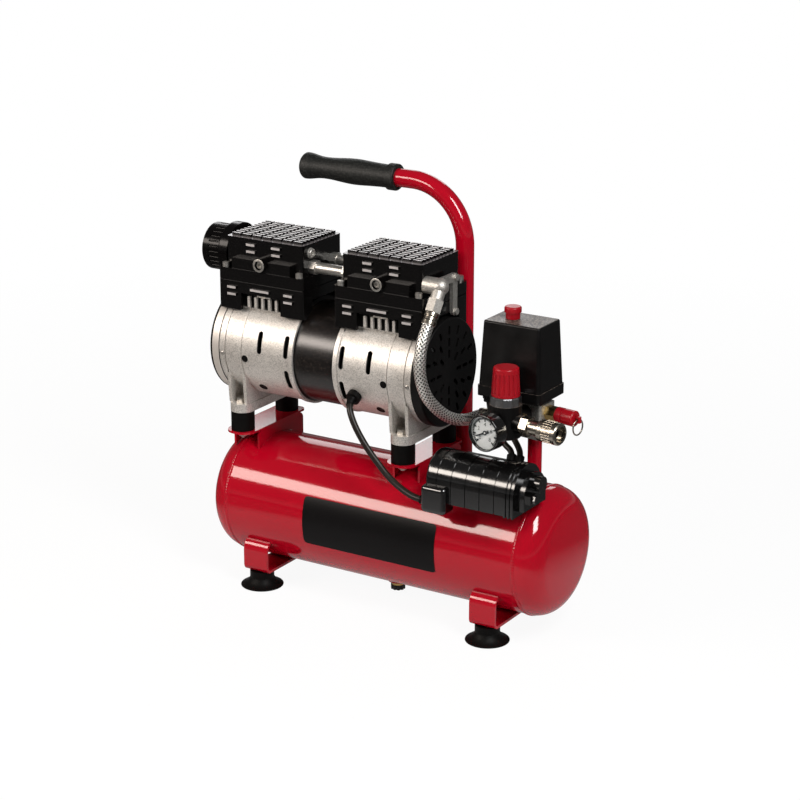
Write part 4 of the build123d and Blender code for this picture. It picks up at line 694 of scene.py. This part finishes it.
def tankWelds():
    theta = np.linspace(0, 2 * pi, bead["round"])[:, None]
    s = np.linspace(-1, 1, bead["across"])[None, :]
    swell = bead["rise"] * (1 - s ** 2) * (1 + bead["ripple"] * np.cos(bead["waves"] * theta))
    r = tank["radius"] - bead["sink"] + swell
    grids = []
    for seam in (-tank["seam"], tank["seam"]):
        x = seam + bead["half"] * s + 0 * theta
        grids.append(toRow(np.stack([x, -r * np.cos(theta), tank["axisZ"] + r * np.sin(theta)], -1)))
    gridPiece("tankWelds", grids, finish["red"])


# fillet welds where tubes meet the tank: z = axis + sqrt(tank^2 - y^2) along each tube's foot, a rippled rod
fillet = {"rod": 1.7, "waves": 40, "steps": 181, "around": 12, "reference": (0.01, 0.02, 1.0)}
riserFoot = {"x": 168.0, "y": 0.0, "radius": 11.2, "reach": 180.0}
handleFoot = {"x": 41.0, "y": 69.5, "radius": 10.3, "reach": 88.0}


def footWelds():
    grids = []
    for foot in (riserFoot, handleFoot):
        turn = np.radians(np.linspace(-foot["reach"], foot["reach"], fillet["steps"]))
        y = foot["y"] - foot["radius"] * np.cos(turn)
        z = tank["axisZ"] + np.sqrt(np.maximum(tank["radius"] ** 2 - y ** 2, 0))
        line = toRow(np.stack([foot["x"] + foot["radius"] * np.sin(turn), y, z], 1))
        swell = fillet["rod"] * (1 + bead["ripple"] * np.cos(fillet["waves"] * turn))
        grids.append(tubeGrid(line, swell, fillet["reference"], fillet["around"]))
    gridPiece("footWelds", grids, finish["red"])


tankWelds()
footWelds()
print("plate, tank ends and welds laid")

# small fasteners: hexagon nuts with a chamfered top, and a stud standing out of each zinc one
nut = {"chamfer": 0.8, "stud": 3.0, "studOut": 2.2, "studIn": 0.5, "studChamfer": 0.6, "studAround": 24}
nutRows = {
    "deckNuts": {"places": [(x, y, 172.0) for x in (-175.6, 32.8) for y in (-42.4, 42.4)], "axis": (0, 0, -1),
                 "radius": 6.4, "height": 5.0, "finish": "zinc", "slot": "zinc_steel"},
    "footNuts": {"places": [(x, y, 21.3) for x in (-145.0, 145.0) for y in (-54.5, 54.5)], "axis": (0, 0, 1),
                 "radius": 6.4, "height": 5.0, "finish": "zinc", "slot": "zinc_steel"},
    "glandNuts": {"places": [(x, -16.0, 256.8) for x in (122.0, 134.5)], "axis": (0, 0, -1),
                  "radius": 7.0, "height": 4.0, "finish": "satinAbs", "slot": "black_plastic"},
}


def nuts(name, spec):
    r, h = spec["radius"], spec["height"]
    profile = [(0, 0), (0, r), (h - nut["chamfer"], r), (h, r - nut["chamfer"]), (h, 0)]
    end, stud, cut = h + nut["studOut"], nut["stud"], nut["studChamfer"]
    tip = [(h - nut["studIn"], stud), (end - cut, stud), (end, stud - cut), (end, 0)]
    grids = [turnedGrid(place, spec["axis"], profile, flats=6) for place in spec["places"]]
    if spec["finish"] == "zinc":
        grids += [turnedGrid(place, spec["axis"], tip, around=nut["studAround"]) for place in spec["places"]]
    gridPiece(name, grids, finish[spec["finish"]])


for name, spec in nutRows.items():
    nuts(name, spec)

# bare turned mouth of each head's boss, with the socket screw inside it; profiles run from the middle out
boss = {"axis": (0, -1, 0), "places": [(-146.1, -43.4, 365.3), (3.3, -43.4, 365.3)],
        "screw": [(1.6, 0), (1.6, 2.0), (3.4, 2.0), (3.4, 3.6), (2.9, 4.2), (0, 4.2)],
        "mouth": [(5.0, 4.7), (5.75, 5.0), (5.75, 6.9), (5.4, 7.7)]}
bossGrids = [turnedGrid(place, boss["axis"], boss[key][::-1]) for place in boss["places"]
             for key in ("screw", "mouth")]
gridPiece("bossScrews", bossGrids, finish["zinc"])

# stepped screw plug on the side of the left head, above the front pipe
sidePlug = {"place": (-96.6, -22.9, 380.7), "axis": (1, 0, 0),
            "profile": [(-0.3, 5.8), (1.2, 5.8), (1.6, 5.1), (3.2, 5.0), (3.8, 4.4), (3.8, 2.6), (2.8, 2.2),
                        (2.8, 0)]}
plugGrid = turnedGrid(sidePlug["place"], sidePlug["axis"], sidePlug["profile"])
gridPiece("sidePlug", [plugGrid], finish["castZinc"])

# black rubber domes over the round vents, painted shade standing for the dark inside of the vent holes, and
# small screws on the rim of each crankcase, front and back: spots are (X, angle up from the front, radius),
# profiles are (height, share of the radius)
caseSkin = {"axisZ": casting["axisZ"], "radius": 57.9, "around": 32}
# painted shade: black domes over the vents stand for the dark inside of the holes
ventShadeDomes = {"spots": [(17.6, -6.0, 4.0), (4.6, -44.0, 5.0), (-160.4, -6.0, 4.0), (-147.4, -44.0, 5.0)],
             "profile": [(-0.4, 1.0), (0.35, 1.0), (0.55, 0.8), (0.3, 0.6), (0.25, 0.0)],
             "finish": "rubber", "slot": "black_rubber"}
rimScrews = {"spots": [(46.8, -4.0, 2.3), (-189.6, -4.0, 2.3)],
             "profile": [(-0.2, 1.0), (0.9, 1.0), (1.3, 0.75), (1.3, 0.4), (0.6, 0.35), (0.6, 0.0)],
             "finish": "zinc", "slot": "zinc_steel"}


def onCase(name, spec):
    grids = []
    for x, angle, radius in spec["spots"]:
        profile = np.array(spec["profile"]) * (1.0, radius)
        for turn in (radians(angle), pi - radians(angle)):
            axis = np.array([0.0, -cos(turn), sin(turn)])
            origin = caseSkin["radius"] * axis + np.array([x, 0.0, caseSkin["axisZ"]])
            grids.append(turnedGrid(origin, axis, profile, around=caseSkin["around"]))
    gridPiece(name, grids, finish[spec["finish"]])


onCase("ventShadeDomes", ventShadeDomes)
onCase("rimScrews", rimScrews)

# printed scale of the gauge: strokes round three quarters of a turn and plain numbers, just over the card
dialPrint = {"strokes": 41, "every": 5, "sweep": 270.0, "outer": 16.2, "minor": 13.9, "major": 11.8,
             "wide": 1.7, "majorHalf": 0.5, "minorHalf": 0.32, "numbers": [0, 2, 4, 6, 8], "numberEvery": 2,
             "ring": 8.8, "size": 6.0, "lift": 0.24}


def dialScale():
    joint = next(j for j in frame["joints"] if j["name"] == "gauge_needle_turn")
    back = Vector(joint["axis"])
    upright = Vector((0, 0, 1))
    place = Matrix((upright.cross(-back), upright, -back)).transposed().to_4x4()
    place.translation = Vector(joint["pos_m"]) + back * dialPrint["lift"] / 1000.0
    reach = dialPrint["sweep"] / 2
    turn = np.radians(np.linspace(reach, -reach, dialPrint["strokes"]) + 90.0)  # evenly about straight up
    long = np.arange(dialPrint["strokes"]) % dialPrint["every"] == 0
    inner = np.where(long, dialPrint["major"], dialPrint["minor"])
    half = np.where(long, dialPrint["majorHalf"], dialPrint["minorHalf"]) * dialPrint["wide"]
    out = np.stack([np.cos(turn), np.sin(turn)], 1)
    aside = half[:, None] * np.stack([-np.sin(turn), np.cos(turn)], 1)
    near, far = inner[:, None] * out, dialPrint["outer"] * out
    flat = np.stack([near - aside, far - aside, far + aside, near + aside], 1).reshape(-1, 2) / 1000.0
    points, quads = np.hstack([flat, np.zeros((len(flat), 1))]), np.arange(len(flat)).reshape(-1, 4)
    mesh = bpy.data.meshes.new("dialScale")
    mesh.from_pydata(points.tolist(), [], quads.tolist())
    sheet = bmesh.new()
    sheet.from_mesh(mesh)
    ring = dialPrint["ring"] / 1000.0
    for value, angle in zip(dialPrint["numbers"], turn[long][::dialPrint["numberEvery"]]):
        text = bpy.data.curves.new("dialNumber", "FONT")
        text.body, text.size = str(value), dialPrint["size"] / 1000.0
        text.align_x, text.align_y = "CENTER", "CENTER"
        holder = bpy.data.objects.new("dialNumber", text)
        letter = bpy.data.meshes.new_from_object(holder)
        letter.transform(Matrix.Translation((ring * cos(angle), ring * sin(angle), 0)))
        sheet.from_mesh(letter)
        bpy.data.objects.remove(holder)
        bpy.data.meshes.remove(letter)
    sheet.to_mesh(mesh)
    sheet.free()
    mesh.transform(place)
    mesh.materials.append(finish["ink"])
    piece = bpy.data.objects.new("dialScale", mesh)
    scene.collection.objects.link(piece)
    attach(piece, "frame")


dialScale()
print("fasteners and gauge scale made")

# floor and light, with distances in metres
studio = {
    "floor": 30.0, "paint": "#f2f2f2", "dimPaint": "#2a2a2a",
    "glow": 0.93, "glowNear": 0.7, "glowFar": 1.6,
    "sheet": (0.035, -0.085), "sheetInner": 0.34, "sheetOuter": 0.46, "sheetGlow": 0.34, "sheetFar": 0.04,
    "room": 0.2, "ceiling": 0.09, "wall": 0.3, "wallLow": 0.03, "wallHigh": 0.16,
}


# pale floor: to the eye and through glass it glows, up to white from glowNear to glowFar;
# reflections see a bright sheet under the object and a dim floor beyond it
def floorMaterial():
    mat = bpy.data.materials.new("paleFloor")
    mat.use_nodes = True
    tree = mat.node_tree
    tree.nodes.clear()
    seen = put(tree, "LightPath")
    co = put(tree, "TexCoord").outputs["Object"]
    shift = put(tree, "VectorMath", {0: co, 1: (*studio["sheet"], 0)}, operation="SUBTRACT")
    far = put(tree, "VectorMath", {0: shift}, operation="LENGTH")
    near = put(tree, "MapRange", {"Value": far, "From Min": studio["sheetInner"],
                                  "From Max": studio["sheetOuter"], "To Min": studio["sheetGlow"],
                                  "To Max": studio["sheetFar"]})
    gloss = put(tree, "Math", {0: seen.outputs["Is Glossy Ray"], 1: near}, operation="MULTIPLY")
    either = put(tree, "Math", {0: seen.outputs["Is Camera Ray"], 1: seen.outputs["Is Transmission Ray"]},
                 operation="MAXIMUM")
    either = put(tree, "Math", {0: either, 1: gloss}, operation="MAXIMUM")
    level = put(tree, "MapRange", {"Value": far, "From Min": studio["glowNear"],
                                   "From Max": studio["glowFar"], "To Min": studio["glow"], "To Max": 1.0})
    share = put(tree, "Math", {0: either, 1: level}, operation="MULTIPLY")
    dim = put(tree, "Math", {0: seen.outputs["Is Glossy Ray"], 1: gloss}, operation="SUBTRACT")
    tint = put(tree, "Mix", {"Factor": dim, "A": studio["paint"], "B": studio["dimPaint"]}, data_type="RGBA")
    matte = put(tree, "BsdfDiffuse", {"Color": tint})
    glow = put(tree, "Emission", {"Color": (1, 1, 1, 1), "Strength": 1.0})
    mix = put(tree, "MixShader", {0: share, 1: matte, 2: glow})
    put(tree, "OutputMaterial", {"Surface": mix})
    return mat


half = studio["floor"]
floorMesh = bpy.data.meshes.new("floor")
floorCorners = [(-half, -half, 0), (half, -half, 0), (half, half, 0), (-half, half, 0)]
floorMesh.from_pydata(floorCorners, [], [(0, 1, 2, 3)])
floorMesh.materials.append(floorMaterial())
floor = bpy.data.objects.new("floor", floorMesh)
scene.collection.objects.link(floor)


# room: white to the eye and through glass; reflections see a pale wall low down that dims to a soft ceiling
def paleRoom():
    world = bpy.data.worlds.new("paleRoom")
    world.use_nodes = True
    tree = world.node_tree
    tree.nodes.clear()
    seen = put(tree, "LightPath")
    height = put(tree, "SeparateXYZ", {"Vector": put(tree, "TexCoord").outputs["Generated"]})
    wall = put(tree, "MapRange", {"Value": height.outputs["Z"], "From Min": studio["wallLow"],
                                  "From Max": studio["wallHigh"], "To Min": studio["wall"],
                                  "To Max": studio["ceiling"]})
    level = put(tree, "Mix", {"Factor": seen.outputs["Is Glossy Ray"], "A": studio["room"], "B": wall})
    either = put(tree, "Math", {0: seen.outputs["Is Camera Ray"], 1: seen.outputs["Is Transmission Ray"]},
                 operation="MAXIMUM")
    level = put(tree, "Math", {0: level, 1: either}, operation="MAXIMUM")
    room = put(tree, "Background", {"Color": (1, 1, 1, 1), "Strength": level})
    put(tree, "OutputWorld", {"Surface": room})
    return world


scene.world = paleRoom()

# soft boxes: direction and distance from the aim, size in metres and power in watts
softBoxes = {
    "keyBox": {"towards": (-36.0, 27.0), "distance": 1.6, "size": (1.0, 0.42), "power": 17.0,
               "tint": "#fff4ea"},
    "fillBox": {"towards": (62.0, 44.0), "distance": 1.6, "size": (0.4, 0.8), "power": 22.0,
                "tint": "#ffffff"},
    "backBox": {"towards": (-148.0, 24.0), "distance": 1.7, "size": (1.3, 0.5), "power": 6.0,
                "tint": "#ffffff"},
}
for name, box in softBoxes.items():
    lamp = bpy.data.lights.new(name, "AREA")
    lamp.shape = "RECTANGLE"
    lamp.size, lamp.size_y = box["size"]
    lamp.energy = box["power"]
    lamp.color = hexColor(box["tint"])[:3]
    holder = bpy.data.objects.new(name, lamp)
    towards = outward(*box["towards"])
    holder.location = aim + box["distance"] * towards
    holder.rotation_euler = towards.to_track_quat("Z", "Y").to_euler()
    holder.visible_camera = False
    scene.collection.objects.link(holder)
scene.view_settings.view_transform = "Standard"
print("stage lit")
